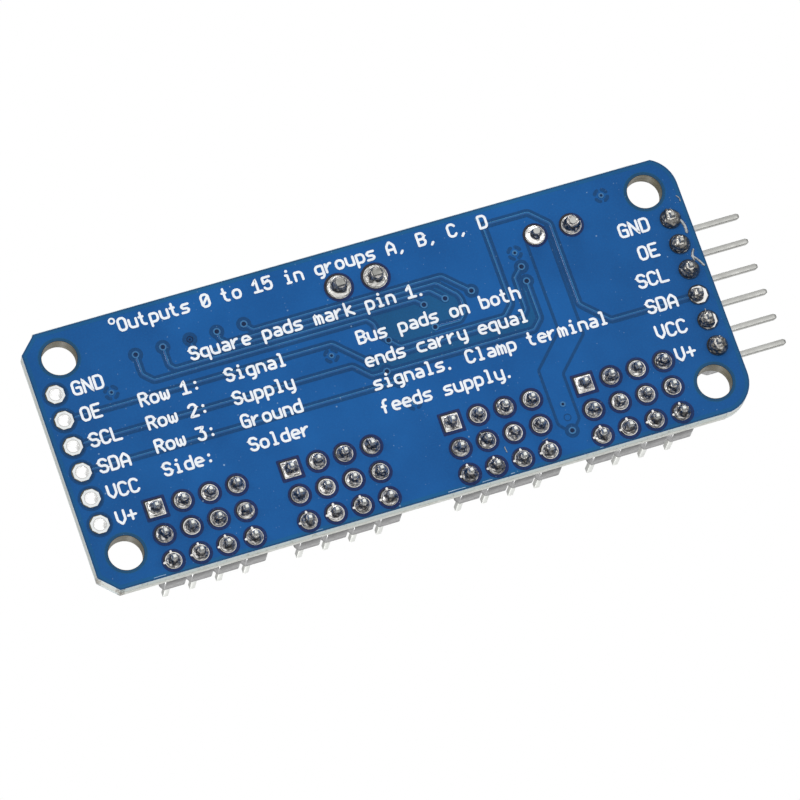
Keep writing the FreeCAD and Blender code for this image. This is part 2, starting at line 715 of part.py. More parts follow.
def chip_parts(node, places, height):
    """Two-terminal chips along X: the ceramic middles and their plated ends."""
    low = BOARD_THICKNESS + PART_LIFT
    high = low + height
    bodies = []
    ends = []
    for x, y in places:
        body_length = CHIP_PART_LENGTH - 2 * CHIP_CAP_LENGTH
        bodies.append(centred_block(x, y, body_length, CHIP_PART_DEPTH, low, high))
        for direction in (-1, 1):
            end_x = x + direction * (CHIP_PART_LENGTH - CHIP_CAP_LENGTH) / 2
            ends.append(centred_block(
                end_x, y, CHIP_CAP_LENGTH, CHIP_PART_DEPTH + 2 * CHIP_CAP_SKIN,
                low, high + CHIP_CAP_SKIN))
    save(node, bodies)
    save(node + "_ends", ends)


def power_light():
    """Indicator: white base, clear lens and two plated ends."""
    low = BOARD_THICKNESS + PART_LIFT
    base_high = low + LED_BASE_HEIGHT
    lens_high = base_high + LED_LENS_HEIGHT
    base_length = CHIP_PART_LENGTH - 2 * CHIP_CAP_LENGTH
    save("power_light_base", [
        centred_block(LED_X, LED_Y, base_length, CHIP_PART_DEPTH, low, base_high)])
    small_length = LED_LENS_LENGTH - 2 * MOULD_DRAFT
    lens = ruled_solid([
        rectangle_wire(LED_X, LED_Y, base_length, CHIP_PART_DEPTH, base_high),
        rectangle_wire(LED_X, LED_Y, small_length, CHIP_PART_DEPTH - 2 * MOULD_DRAFT, lens_high),
    ])
    save("power_light_lens", [lens])
    ends = []
    for direction in (-1, 1):
        end_x = LED_X + direction * (CHIP_PART_LENGTH - CHIP_CAP_LENGTH) / 2
        ends.append(centred_block(
            end_x, LED_Y, CHIP_CAP_LENGTH, CHIP_PART_DEPTH, low, base_high))
    save("power_light_ends", ends)


os.makedirs("parts", exist_ok=True)
save("circuit_board", [circuit_board()])
save("breakout_pad_barrels", [breakout_barrel(y) for y in side_pad_places_y()])
for group_name, group_x in zip(GROUP_NAMES, GROUP_CENTRES_X):
    servo_group(group_name, group_x)
bus_header()
screw_terminal()
smoothing_capacitor()
driver_chip()
polarity_transistor()
resistor_arrays()
chip_parts("chip_resistors", RESISTOR_PLACES, RESISTOR_HEIGHT)
chip_parts("ceramic_capacitors", CERAMIC_PLACES, CERAMIC_HEIGHT)
power_light()
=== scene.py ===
import math
import random

import bmesh
import bpy
from mathutils import Matrix, Vector, noise


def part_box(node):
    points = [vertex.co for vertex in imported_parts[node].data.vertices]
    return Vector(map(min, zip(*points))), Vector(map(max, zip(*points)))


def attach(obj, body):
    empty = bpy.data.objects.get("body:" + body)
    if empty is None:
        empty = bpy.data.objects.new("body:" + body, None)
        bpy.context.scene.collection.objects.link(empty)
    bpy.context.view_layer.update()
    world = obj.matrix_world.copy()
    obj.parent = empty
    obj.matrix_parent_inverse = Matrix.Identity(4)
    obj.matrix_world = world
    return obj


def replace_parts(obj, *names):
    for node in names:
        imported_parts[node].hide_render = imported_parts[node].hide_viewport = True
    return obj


# Looks of the servo driver board. Lengths below are in millimetres unless a name says otherwise.
# Layouts on a face of the board are written as that face is seen: u to its right, v towards the
# screw terminal. On the component side u is +X, and on the solder side u is -X.

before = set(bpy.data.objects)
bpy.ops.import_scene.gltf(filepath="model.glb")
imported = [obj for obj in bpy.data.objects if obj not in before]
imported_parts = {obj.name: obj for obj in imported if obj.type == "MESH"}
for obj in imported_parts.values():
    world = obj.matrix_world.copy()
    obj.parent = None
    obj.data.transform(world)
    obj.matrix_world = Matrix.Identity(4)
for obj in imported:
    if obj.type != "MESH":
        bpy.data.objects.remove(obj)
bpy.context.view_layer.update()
MM = 0.001

PITCH = 2.54
GROUPS = ["a", "b", "c", "d"]
COLUMNS = 4
SOLDER_SIDE = -1
COMPONENT_SIDE = 1


def node_box(node):
    """Lowest and highest corner of a CAD node, in millimetres."""
    low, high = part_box(node)
    return low / MM, high / MM


def node_centre(node):
    low, high = node_box(node)
    return (low + high) / 2


BOARD_LOW, BOARD_HIGH = node_box("circuit_board")
MOUNT_X = 11 * PITCH
MOUNT_Y = 3.75 * PITCH
CORNER_RADIUS = BOARD_HIGH.x - MOUNT_X
CORNER_BEVEL = 1.6
SCORE_REACH = 0.2
FACE_LOW_Y = BOARD_LOW.y + SCORE_REACH
FACE_HIGH_Y = BOARD_HIGH.y - SCORE_REACH
GROUP_X = [node_centre("servo_pins_" + name).x for name in GROUPS]
ROW_Y = [node_centre(row + "_strip_a").y for row in ("signal", "power", "ground")]
BREAKOUT_X = node_centre("breakout_pad_barrels").x
HEADER_X = node_centre("bus_header_strip").x
SIDE_ROWS = [(2.5 - index) * PITCH for index in range(6)]
POLE_X = [node_centre("clamp_screw_" + pole).x for pole in ("positive", "negative")]
POLE_Y = node_centre("clamp_screw_positive").y
CAP_CENTRE = node_centre("capacitor_can")
CAP_LEAD_X = [CAP_CENTRE.x - 1.75, CAP_CENTRE.x + 1.75]
CHIP_CENTRE = node_centre("driver_chip")

# ------------------------------------------------------------------ materials


class Graph:
    """Shader nodes of one material, or of the world."""

    def __init__(self, tree):
        self.tree = tree

    def feed(self, socket, value):
        """Links a socket to another node's output, or sets it to a constant."""
        if isinstance(value, bpy.types.NodeSocket):
            self.tree.links.new(value, socket)
        else:
            socket.default_value = (*value, 1.0) if socket.type == "RGBA" else value

    def node(self, kind, inputs=None, **settings):
        made = self.tree.nodes.new("ShaderNode" + kind)
        for key, value in settings.items():
            setattr(made, key, value)
        for key, value in (inputs or {}).items():
            self.feed(made.inputs[key], value)
        return made

    def math(self, operation, *values):
        return self.node("Math", dict(enumerate(values)), operation=operation).outputs[0]

    def times(self, first, second):
        return self.math("MULTIPLY", first, second)

    def off(self, value, middle):
        """Distance of a length from a middle one given in millimetres."""
        return self.math("ABSOLUTE", self.math("SUBTRACT", value, middle * MM))

    def within(self, value, limit):
        """1 where a length is less than a limit in millimetres, and 0 elsewhere."""
        return self.math("LESS_THAN", value, limit * MM)

    def axes(self, vector):
        """The X, Y and Z parts of a vector."""
        return tuple(self.node("SeparateXYZ", {0: vector}).outputs)

    def span(self, value, low, high, to_low=0.0, to_high=1.0, kind="LINEAR"):
        """Clamped map of a value from one range to another."""
        sockets = dict(enumerate((value, low, high, to_low, to_high)))
        return self.node("MapRange", sockets, interpolation_type=kind).outputs["Result"]

    def ramp(self, factor, *stops):
        """Colour ramp through (position, colour) stops."""
        made = self.node("ValToRGB", {"Fac": factor})
        elements = made.color_ramp.elements
        while len(elements) < len(stops):
            elements.new(0.5)
        for element, (position, colour) in zip(elements, stops):
            element.position = position
            element.color = (*colour, 1.0)
        return made.outputs["Color"]

    def mix(self, factor, first, second):
        """Blend of two colours."""
        return self.node("Mix", {0: factor, 6: first, 7: second}, data_type="RGBA").outputs[2]


class Finish(Graph):
    """A procedural material under construction: one Principled shader and its textures."""

    def __init__(self, name, **sockets):
        self.material = bpy.data.materials.new(name)
        self.material.use_nodes = True
        super().__init__(self.material.node_tree)
        self.shader = self.tree.nodes["Principled BSDF"].inputs
        self.place = self.node("TexCoord").outputs["Object"]
        for socket, value in sockets.items():
            self.feed(self.shader[socket.replace("_", " ")], value)

    def noise(self, size, detail=3.0, roughness=0.55, stretch=None):
        """Noise whose features measure about size millimetres."""
        place = self.place
        if stretch:
            place = self.node("Mapping", {"Vector": place, "Scale": stretch}).outputs[0]
        sockets = {"Vector": place, "Scale": 1.0 / (size * MM), "Detail": detail, "Roughness": roughness}
        return self.node("TexNoise", sockets).outputs["Fac"]

    def mottled(self, size, dark, light):
        """Two colours in soft patches that measure about size millimetres."""
        return self.ramp(self.noise(size), (0.3, dark), (0.7, light))

    def specks(self, spacing, radius, share, strength):
        """Sparse round dots: strength inside a dot and 0 elsewhere."""
        cells = self.node("TexVoronoi", {"Vector": self.place, "Scale": 1.0 / (spacing * MM)})
        chance = self.node("SeparateColor", {0: cells.outputs["Color"]}).outputs
        size = self.times(chance[1], radius / spacing)
        inside = self.math("LESS_THAN", cells.outputs["Distance"], size)
        return self.times(self.times(self.math("LESS_THAN", chance[0], share), inside), strength)

    def distance(self, x, y, at_x, at_y):
        """Distance in plan from a place given in millimetres."""
        offsets = (self.math("SUBTRACT", x, at_x * MM), self.math("SUBTRACT", y, at_y * MM))
        return self.math("SQRT", self.math("ADD", *(self.times(offset, offset) for offset in offsets)))

    def colour(self, value):
        self.feed(self.shader["Base Color"], value)

    def surface(self, patches, roughness, relief, depth):
        """Uneven roughness and a fine relief of about depth millimetres, each from a noise."""
        self.feed(self.shader["Roughness"], self.span(patches, 0.3, 0.7, *roughness))
        bump = self.node("Bump", {"Strength": 1.0, "Distance": depth * MM, "Height": relief})
        self.feed(self.shader["Normal"], bump.outputs["Normal"])
        return self.material


def moulded(name, dark, light, grain=0.09, roughness=(0.32, 0.5), depth=0.006, gloss=0.0):
    """Moulded plastic: slight mottling and a fine grain, glossier where it was against the tool."""
    made = Finish(name, Coat_Weight=gloss, Coat_Roughness=0.22)
    made.colour(made.mottled(1.4, dark, light))
    return made.surface(made.noise(0.5), roughness, made.noise(grain, 2.0), depth)


def metal(name, dark, light, roughness=(0.15, 0.32), size=0.25, depth=0.008):
    """Plated or bare metal with soft unevenness."""
    made = Finish(name, Metallic=1.0)
    made.colour(made.mottled(size * 2, dark, light))
    return made.surface(made.noise(size, 4.0), roughness, made.noise(size), depth)


MASK_BLUE = (0.0032, 0.075, 0.260)
MASK_LIGHT = (0.0056, 0.097, 0.322)
TRACK_NAVY = (0.0036, 0.044, 0.142)
DUST = (0.32, 0.46, 0.60)
GRAIN = (0.012, 0.175, 0.50)
MASK_SHEEN = 0.13
MASK_ROUGHNESS = (0.30, 0.42)
MASK_RELIEF = 0.003
# Depth below each face of the board that still shows mask.
MASK_FILM = 0.03
SATIN_ROUGHNESS = (0.24, 0.36)
HOLE_EDGE_RADIUS = 1.65
HOLE_WALL_RADIUS = 1.75
# Painted shade: the mask darkens towards the board's ends, between these distances from its middle.
END_SHADE_FROM = 15.0
END_SHADE_TO = 31.0
# Each score runs this deep from its face, and blends into the torn middle over a short width.
SCORE_DEPTH = 0.5
SCORE_BLEND = 0.2
# Scorch at either end of the bevelled corner.
SCORCH_RADIUS = 0.42


def mask_colour(made, dark, light):
    """Solder mask colour: cloudy, darker towards the board's ends as painted shade, with pale dust and dark
    flecks.
    """
    colour = made.ramp(made.noise(7.0, 4.0), (0.32, dark), (0.68, light))
    # Painted shade: darkens the mask towards both ends of the board.
    from_centre = made.math("ABSOLUTE", made.axes(made.place)[0])
    colour = made.mix(
        made.span(from_centre, END_SHADE_FROM * MM, END_SHADE_TO * MM, 0.0, 0.30), colour, TRACK_NAVY)
    colour = made.mix(made.span(made.noise(0.9, 5.0, 0.7), 0.60, 0.74, 0.0, 0.22), colour, TRACK_NAVY)
    colour = made.mix(made.span(made.noise(0.17, 2.0, 0.6), 0.45, 0.68, 0.0, 0.10), colour, GRAIN)
    for spacing, radius, share, strength in (
            (0.30, 0.060, 0.20, 0.20), (0.62, 0.085, 0.16, 0.45), (2.1, 0.13, 0.12, 0.6)):
        colour = made.mix(made.specks(spacing, radius, share, strength), colour, DUST)
    return colour


def mask_surface(made):
    return made.surface(made.noise(1.1, 4.0), MASK_ROUGHNESS, made.noise(0.25), MASK_RELIEF)


def mask_finish(name, dark, light, gloss=0.0):
    """Satin solder mask film; gloss adds a clear coat that catches light on raised edges."""
    made = Finish(name, Specular_IOR_Level=MASK_SHEEN, Coat_Weight=gloss, Coat_Roughness=0.13)
    made.colour(mask_colour(made, dark, light))
    return mask_surface(made)


def board_material():
    """Blue mask on both faces, pale glass laminate on the cut edges, and in the mounting holes brown
    laminate darkened with painted shade, with a ring of painted shade at each hole's lip.
    """
    made = Finish("board_laminate_and_mask", Specular_IOR_Level=MASK_SHEEN)
    x, y, z = made.axes(made.place)
    half = (BOARD_HIGH.z - BOARD_LOW.z) / 2 * MM
    from_middle = made.off(z, (BOARD_LOW.z + BOARD_HIGH.z) / 2)
    plies = made.noise(0.16, stretch=(0.10, 0.10, 1.0))
    fibres = made.noise(0.34, 6.0, 0.7)
    edge = made.ramp(
        plies, (0.30, (0.56, 0.57, 0.50)), (0.50, (0.74, 0.76, 0.71)), (0.72, (0.86, 0.88, 0.85)))
    scored = made.span(from_middle, half - SCORE_DEPTH * MM, half - (SCORE_DEPTH - SCORE_BLEND) * MM)
    edge = made.mix(scored, edge, (0.78, 0.87, 0.86))
    edge = made.mix(made.span(fibres, 0.56, 0.66, 0.0, 0.6), edge, (0.42, 0.43, 0.37))
    for corner in (
            (BOARD_HIGH.x, FACE_LOW_Y + CORNER_BEVEL), (BOARD_HIGH.x - CORNER_BEVEL, FACE_LOW_Y)):
        scorch = made.within(made.distance(x, y, *corner), SCORCH_RADIUS)
        scorch = made.times(scorch, made.span(fibres, 0.40, 0.56, 0.0, 0.8))
        edge = made.mix(scorch, edge, (0.12, 0.085, 0.05))
    # Brown laminate in the mounting holes, darkened as painted shade for the inside of the hole.
    hole_wall_and_shade = made.ramp(
        plies, (0.30, (0.060, 0.050, 0.024)), (0.55, (0.135, 0.118, 0.062)), (0.80, (0.24, 0.215, 0.125)))
    from_hole = made.distance(made.math("ABSOLUTE", x), made.math("ABSOLUTE", y), MOUNT_X, MOUNT_Y)
    edge = made.mix(made.within(from_hole, HOLE_WALL_RADIUS), edge, hole_wall_and_shade)
    face = mask_colour(made, MASK_BLUE, MASK_LIGHT)
    # Painted shade: a dark ring on the mask at each mounting hole's lip.
    face = made.mix(made.within(from_hole, HOLE_EDGE_RADIUS), face, (0.030, 0.040, 0.040))
    on_face = made.math("GREATER_THAN", from_middle, half - MASK_FILM * MM)
    made.colour(made.mix(on_face, edge, face))
    return mask_surface(made)


# Polarity stripe on the sleeve, with a row of dashes.
STRIPE_HALF_WIDTH = 1.35
STRIPE_FROM_AXIS = 2.0
DASH_FOOT = 3.2
DASH_PITCH = 2.6
DASH_HALF_WIDTH = 0.55
DASH_HALF_HEIGHT = 0.16


def sleeve_material():
    """Dark shrunk sleeve with a pale polarity stripe down the side above the negative lead."""
    made = Finish("shrunk_sleeve", Coat_Weight=0.4, Coat_Roughness=0.1)
    x, y, z = made.axes(made.place)
    across = made.off(y, CAP_CENTRE.y)
    stripe = made.times(
        made.within(across, STRIPE_HALF_WIDTH), made.within(x, CAP_CENTRE.x - STRIPE_FROM_AXIS))
    step = made.math("MODULO", made.math("SUBTRACT", z, DASH_FOOT * MM), DASH_PITCH * MM)
    dash = made.times(
        made.within(made.off(step, DASH_PITCH / 2), DASH_HALF_HEIGHT), made.within(across, DASH_HALF_WIDTH))
    body = made.mottled(0.6, (0.010, 0.012, 0.030), (0.016, 0.019, 0.046))
    pale = made.mottled(0.3, (0.50, 0.52, 0.56), (0.62, 0.64, 0.68))
    made.colour(made.mix(stripe, body, made.mix(dash, pale, (0.012, 0.014, 0.034))))
    return made.surface(made.noise(0.5), SATIN_ROUGHNESS, made.noise(0.4, 2.0), 0.004)


TIP_FADE = 0.04


def solder_material(name, dark, light, roughness, depth, tip_depth=None, pits=0.0):
    """Solder in uneven facets, with painted light and shade from how each facet faces: bright where it lies
    flat, brown on steep flanks; with small pits.

    Beyond tip_depth below the board, the cut end of the pin shows duller through the solder.
    """
    made = Finish(name, Metallic=1.0)
    # Painted light and shade: the colour follows how steeply the surface faces up or down.
    facing_for_painted_light = made.axes(made.node("NewGeometry").outputs["Normal"])[2]
    uneven = made.times(made.math("SUBTRACT", made.noise(0.30, 2.0, 0.5), 0.5), 1.1)
    level = made.math("ADD", made.math("ABSOLUTE", facing_for_painted_light), uneven)
    between = [(low + high) / 2.3 for low, high in zip(dark, light)]
    tone = made.ramp(level, (0.28, dark), (0.56, between), (0.80, light))
    tone = made.mix(made.specks(0.24, 0.075, 0.6, pits), tone, dark)
    if tip_depth:
        at_tip = made.span(made.axes(made.place)[2], -tip_depth * MM, -(tip_depth + TIP_FADE) * MM)
        cut_end = made.ramp(made.noise(0.16), (0.36, (0.22, 0.21, 0.20)), (0.62, (0.50, 0.49, 0.48)))
        tone = made.mix(at_tip, tone, cut_end)
    made.colour(tone)
    return made.surface(made.noise(0.3), roughness, made.noise(0.21), depth)


# Radii from the axis of a breakout hole: its bore, painted near white as a highlight, and the middle and
# half width of its dark rim.
BORE_RADIUS = 0.563
BORE_RIM_RADIUS = 0.585
BORE_RIM_HALF_WIDTH = 0.022


def barrel_material():
    """Levelled tin on the breakout pads, with a dark rim round each hole and a bore painted near white as a
    highlight.
    """
    made = Finish("plated_breakout_pads", Metallic=0.6)
    x, y, _ = made.axes(made.place)
    from_axis = made.distance(x, made.math("PINGPONG", y, PITCH / 2 * MM), BREAKOUT_X, PITCH / 2)
    tin = made.mottled(0.5, (0.63, 0.65, 0.65), (0.75, 0.77, 0.77))
    # Painted highlight: the bore is near white, brighter than its tin.
    tin = made.mix(made.within(from_axis, BORE_RADIUS), tin, (0.97, 0.97, 0.96))
    on_rim = made.within(made.off(from_axis, BORE_RIM_RADIUS), BORE_RIM_HALF_WIDTH)
    made.colour(made.mix(on_rim, tin, (0.34, 0.33, 0.31)))
    return made.surface(made.noise(0.4), SATIN_ROUGHNESS, made.noise(0.35), 0.01)


BOARD = board_material()
MASK_TRACK = mask_finish("solder_mask_over_copper", (0.0038, 0.071, 0.230), (0.0062, 0.090, 0.278), 0.3)
MASK_GAP = mask_finish("solder_mask_beside_tracks", TRACK_NAVY, (0.0052, 0.056, 0.172))
MASK_RING = mask_finish("solder_mask_round_pads", (0.0085, 0.017, 0.078), (0.013, 0.025, 0.102))
MASK_HALO = mask_finish("solder_mask_round_header_pads", (0.005, 0.024, 0.066), (0.008, 0.036, 0.092))
MASK_TEAL = mask_finish("solder_mask_over_bare_laminate", (0.0046, 0.066, 0.180), (0.0062, 0.084, 0.220))
MASK_RIM = mask_finish("solder_mask_at_board_rim", (0.0050, 0.082, 0.222), (0.0075, 0.104, 0.272))
# Painted shade: a thin dark band of mask along every cut edge and round each mounting hole.
MASK_CUT_SHADE = mask_finish("solder_mask_painted_shade_at_cut_edges", (0.009, 0.058, 0.118), (0.014, 0.076, 0.156))
MASK_VIA = mask_finish("solder_mask_on_via_rims", (0.014, 0.115, 0.28), (0.024, 0.155, 0.35), 0.6)
# Painted highlight: pale lines along one edge of each track stand for glints of light.
MASK_EDGE_GLINT = mask_finish(
    "solder_mask_thin_on_track_edges", (0.020, 0.150, 0.330), (0.042, 0.225, 0.430), 0.4)
# Painted shade: dark discs stand for the shade inside the via holes.
VIA_HOLE_SHADE = mask_finish("via_hole_shade", (0.003, 0.009, 0.035), (0.005, 0.016, 0.06))
BARE = moulded("bare_laminate", (0.006, 0.006, 0.010), (0.016, 0.015, 0.018), roughness=(0.6, 0.8))
BARE_OLIVE = moulded(
    "bare_laminate_by_breakouts", (0.030, 0.034, 0.024), (0.085, 0.085, 0.055), roughness=(0.6, 0.8))
SCRATCHED = moulded("scratched_mask", (0.20, 0.34, 0.52), (0.50, 0.62, 0.74), 0.1, (0.5, 0.7))
INK = moulded("printed_legend_ink", (0.74, 0.78, 0.83), (0.84, 0.87, 0.90), 0.12, (0.5, 0.7), 0.008)
SOLDER = solder_material(
    "bright_solder", (0.150, 0.134, 0.118), (0.88, 0.86, 0.83), (0.22, 0.38), 0.045, 0.90, 0.55)
TERMINAL_SOLDER = solder_material(
    "terminal_solder_finish", (0.145, 0.130, 0.105), (0.66, 0.65, 0.62), (0.30, 0.46), 0.06, 0.80, 0.8)
DULL_SOLDER = solder_material(
    "dull_solder", (0.20, 0.185, 0.162), (0.62, 0.60, 0.56), (0.30, 0.44), 0.035, None, 0.25)
SPLASHED = metal("splashed_solder", (0.16, 0.19, 0.21), (0.46, 0.48, 0.49), (0.35, 0.55), 0.14, 0.03)
PAD_TIN = metal("levelled_pad_tin", (0.66, 0.65, 0.63), (0.82, 0.81, 0.79), (0.24, 0.40), 0.35, 0.012)
PLATED_PAD = barrel_material()
PIN_TIN = metal("pin_tin_plate", (0.44, 0.44, 0.42), (0.50, 0.50, 0.48), (0.46, 0.60), 0.5, 0.002)
POST_TIN = metal("servo_pin_plate", (0.66, 0.67, 0.64), (0.76, 0.77, 0.74), (0.40, 0.56), 0.5, 0.002)
CONTACT_TIN = metal("contact_tin_plate", (0.20, 0.20, 0.19), (0.34, 0.34, 0.32), (0.34, 0.52), 0.2, 0.01)
STEEL = metal("zinc_screw", (0.50, 0.51, 0.53), (0.72, 0.73, 0.74), (0.18, 0.36), 0.2, 0.01)
NICKEL = metal("nickel_cage", (0.56, 0.53, 0.47), (0.74, 0.71, 0.64), (0.20, 0.40), 0.25)
ALUMINIUM = metal("drawn_aluminium", (0.60, 0.61, 0.62), (0.78, 0.79, 0.80), (0.22, 0.42), 0.3, 0.006)
# Painted shade: dark aluminium for the shade in the capacitor's vent scores.
GROOVE_SHADE_ALUMINIUM = metal("aluminium_with_painted_groove_shade", (0.16, 0.16, 0.17), (0.26, 0.26, 0.27), (0.35, 0.5), 0.3, 0.004)
BLACK = moulded("black_moulding", (0.026, 0.026, 0.027), (0.042, 0.042, 0.043), gloss=0.6)
RED = moulded("red_moulding", (0.42, 0.012, 0.012), (0.55, 0.02, 0.018))
YELLOW = moulded("yellow_moulding", (0.72, 0.42, 0.012), (0.85, 0.55, 0.02))
GREEN = moulded("terminal_moulding", (0.012, 0.19, 0.075), (0.02, 0.26, 0.105))
EPOXY = moulded("package_epoxy", (0.014, 0.014, 0.016), (0.03, 0.03, 0.033), 0.07, (0.5, 0.7), 0.01)
GLAZE = moulded("resistor_glaze", (0.01, 0.01, 0.012), (0.02, 0.02, 0.022), 0.2, (0.18, 0.3), 0.004)
CERAMIC = moulded("fired_ceramic", (0.36, 0.23, 0.12), (0.50, 0.34, 0.20), 0.12, (0.4, 0.6), 0.006)
SLEEVE = sleeve_material()
RUBBER = moulded("seal_rubber", (0.02, 0.02, 0.02), (0.035, 0.035, 0.035), 0.1, (0.6, 0.8))
LIGHT_BASE = moulded("light_base", (0.72, 0.72, 0.70), (0.86, 0.86, 0.84))

# ------------------------------------------------------------------ mesh helpers


def place_piece(mesh, name, material, body="board"):
    """Puts a finished mesh in the scene as a piece that rides on a body."""
    mesh.materials.clear()
    mesh.materials.append(material)
    piece = add_object(name, mesh)
    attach(piece, body)
    return piece


def smooth(mesh, degrees):
    for polygon in mesh.polygons:
        polygon.use_smooth = True
    mesh.set_sharp_from_angle(angle=math.radians(degrees))


def mesh_from(name, points, faces):
    """Mesh from points in millimetres, with its faces turned outward."""
    mesh = bpy.data.meshes.new(name)
    mesh.from_pydata([Vector(point) * MM for point in points], [], faces)
    work = bmesh.new()
    work.from_mesh(mesh)
    bmesh.ops.recalc_face_normals(work, faces=work.faces)
    work.to_mesh(mesh)
    work.free()
    return mesh


def tube(points, faces, sections, ring=False):
    """Adds a closed solid through sections, which all have the same number of points."""
    size = len(sections[0])
    starts = [len(points) + level * size for level in range(len(sections))]
    for section in sections:
        points.extend(section)
    for low, high in zip(starts, starts[1:] + (starts[:1] if ring else [])):
        for index in range(size):
            after = (index + 1) % size
            faces.append((low + index, low + after, high + after, high + index))
    if not ring:
        faces.extend(tuple(range(start, start + size)) for start in (starts[0], starts[-1]))


def arc(u, v, radius, start, turn, steps):
    """Points along an arc, from one end to the other."""
    angles = [start + turn * step / steps for step in range(steps + 1)]
    return [(u + radius * math.cos(angle), v + radius * math.sin(angle)) for angle in angles]


def circle(u, v, radius, count=32, start=0.0):
    """Points round a circle."""
    return arc(u, v, radius, start, 2 * math.pi, count)[:-1]


def octagon(u, v, flats):
    """Eight corners of a pad that measures flats from side to side."""
    return circle(u, v, flats / 2 / math.cos(math.pi / 8), 8, math.pi / 8)


def rounded_square(u, v, side, radius, steps=4):
    """Outline of a square with round corners."""
    quarter = math.pi / 2
    reach = side / 2 - radius
    points = []
    for corner, (end_u, end_v) in enumerate(((1, 1), (-1, 1), (-1, -1), (1, -1))):
        points += arc(u + reach * end_u, v + reach * end_v, radius, corner * quarter, quarter, steps)
    return points


def rectangle(u, v, width, depth):
    """Four corners of a rectangle about its centre."""
    corners = ((-1, -1), (1, -1), (1, 1), (-1, 1))
    return [(u + width / 2 * end_u, v + depth / 2 * end_v) for end_u, end_v in corners]


def line_stations(points, half, cap_steps):
    """Places along a line with round ends, each with its sideways direction and half width."""
    places = [Vector(point) for point in points]
    runs = [(end - start).normalized() for start, end in zip(places, places[1:])]
    stations = []
    for index, place in enumerate(places):
        into = runs[max(index - 1, 0)]
        along = (into + runs[min(index, len(runs) - 1)]).normalized()
        side = Vector((-along.y, along.x))
        stations.append((place, side / max(along.dot(into), 0.5), half))
    for end, outward in ((0, -runs[0]), (-1, runs[-1])):
        side = stations[end][1]
        cap = []
        for step in range(1, cap_steps + 1):
            angle = min(step / cap_steps, 0.96) * math.pi / 2
            cap.append((places[end] + outward * half * math.sin(angle), side, half * math.cos(angle)))
        stations = cap[::-1] + stations if end == 0 else stations + cap
    return stations


def rounded_path(points, radius=0.2, steps=3):
    """Open line with each bend eased into a short curve."""
    path = [points[0]]
    for before, corner, after in zip(points, points[1:], points[2:]):
        corner_v = Vector(corner)
        into = Vector(before) - corner_v
        out = Vector(after) - corner_v
        reach = min(radius, into.length / 2, out.length / 2)
        start = corner_v + into.normalized() * reach
        end = corner_v + out.normalized() * reach
        for step in range(steps + 1):
            share = step / steps
            point = start * (1 - share) ** 2 + corner_v * 2 * share * (1 - share) + end * share ** 2
            path.append(tuple(point))
    path.append(points[-1])
    return path


def beside(points, distance):
    """The same line moved sideways, to its left where the distance is positive."""
    return [tuple(centre + side * distance) for centre, side, _ in line_stations(points, 0, 0)]


def board_outline(inset):
    """Outline of the board seen from above, moved inward."""
    high_x = BOARD_HIGH.x - inset
    low_y = FACE_LOW_Y + inset
    high_y = FACE_HIGH_Y - inset
    cut = CORNER_BEVEL + inset * (math.sqrt(2) - 2)
    points = [(high_x - cut, low_y), (high_x, low_y + cut), (high_x, high_y - cut), (high_x - cut, high_y)]
    radius = CORNER_RADIUS - inset
    rise = math.asin((high_y - MOUNT_Y) / radius)
    fall = math.asin((-MOUNT_Y - low_y) / radius)
    points += arc(-MOUNT_X, MOUNT_Y, radius, math.pi - rise, rise, 8)
    points += arc(-MOUNT_X, -MOUNT_Y, radius, math.pi, fall, 8)
    return points


class Relief:
    """Collects thin closed shapes that lie on one face of the board.

    Each new shape stands a hair higher than its neighbours, so that no two tops lie in one plane.
    """

    HAIR = 0.0003
    CYCLE = 20

    def __init__(self, side, height, slope=0.0, foot=-0.02):
        self.side = side
        self.height = height
        self.slope = slope
        self.foot = foot
        self.points = []
        self.faces = []
        self.count = 0

    def spot(self, u, v, height):
        if self.side == SOLDER_SIDE:
            return (-u, v, BOARD_LOW.z - height)
        return (u, v, BOARD_HIGH.z + height)

    def next_height(self):
        self.count += 1
        return self.height + self.count % self.CYCLE * self.HAIR

    def loft(self, outlines, heights, ring=False):
        """Closed solid through outlines at heights above the face."""
        sections = [
            [self.spot(u, v, height) for u, v in outline] for outline, height in zip(outlines, heights)]
        tube(self.points, self.faces, sections, ring)

    def plate(self, outline, top_outline=None):
        """Flat shape, with sloping sides where its top outline is smaller."""
        top = self.next_height()
        shoulder = top - min(self.slope, top)
        self.loft([outline, outline, top_outline or outline], [self.foot, shoulder, top])

    def disc(self, u, v, radius, count=32):
        self.plate(circle(u, v, radius, count), circle(u, v, radius - self.slope, count))

    def ring(self, outer, inner):
        """Flat band between two outlines with the same number of points."""
        top = self.next_height()
        self.loft([outer, outer, inner, inner], [self.foot, top, top, self.foot], ring=True)

    def round_ring(self, u, v, outer, inner, count=32):
        self.ring(circle(u, v, outer, count), circle(u, v, inner, count))

    def line(self, points, width, cap_steps=4):
        """One line of some width with round ends, swept along its path."""
        top = self.next_height()
        shoulder = top - min(self.slope, top)
        stations = line_stations(points, width / 2, cap_steps)
        sections = []
        for index, (centre, side, reach) in enumerate(stations):
            rise = self.HAIR * index / len(stations)
            inner = max(reach - self.slope, reach * 0.4)
            section = [(-reach, self.foot), (-reach, shoulder), (-inner, top + rise)]
            section += [(-offset, height) for offset, height in reversed(section)]
            sections.append([
                self.spot(centre.x + side.x * offset, centre.y + side.y * offset, height)
                for offset, height in section])
        tube(self.points, self.faces, sections)

    def finish(self, name, material, slot="laminate"):
        return place_piece(mesh_from(name, self.points, self.faces), name, material)


# ------------------------------------------------------------------ lettering

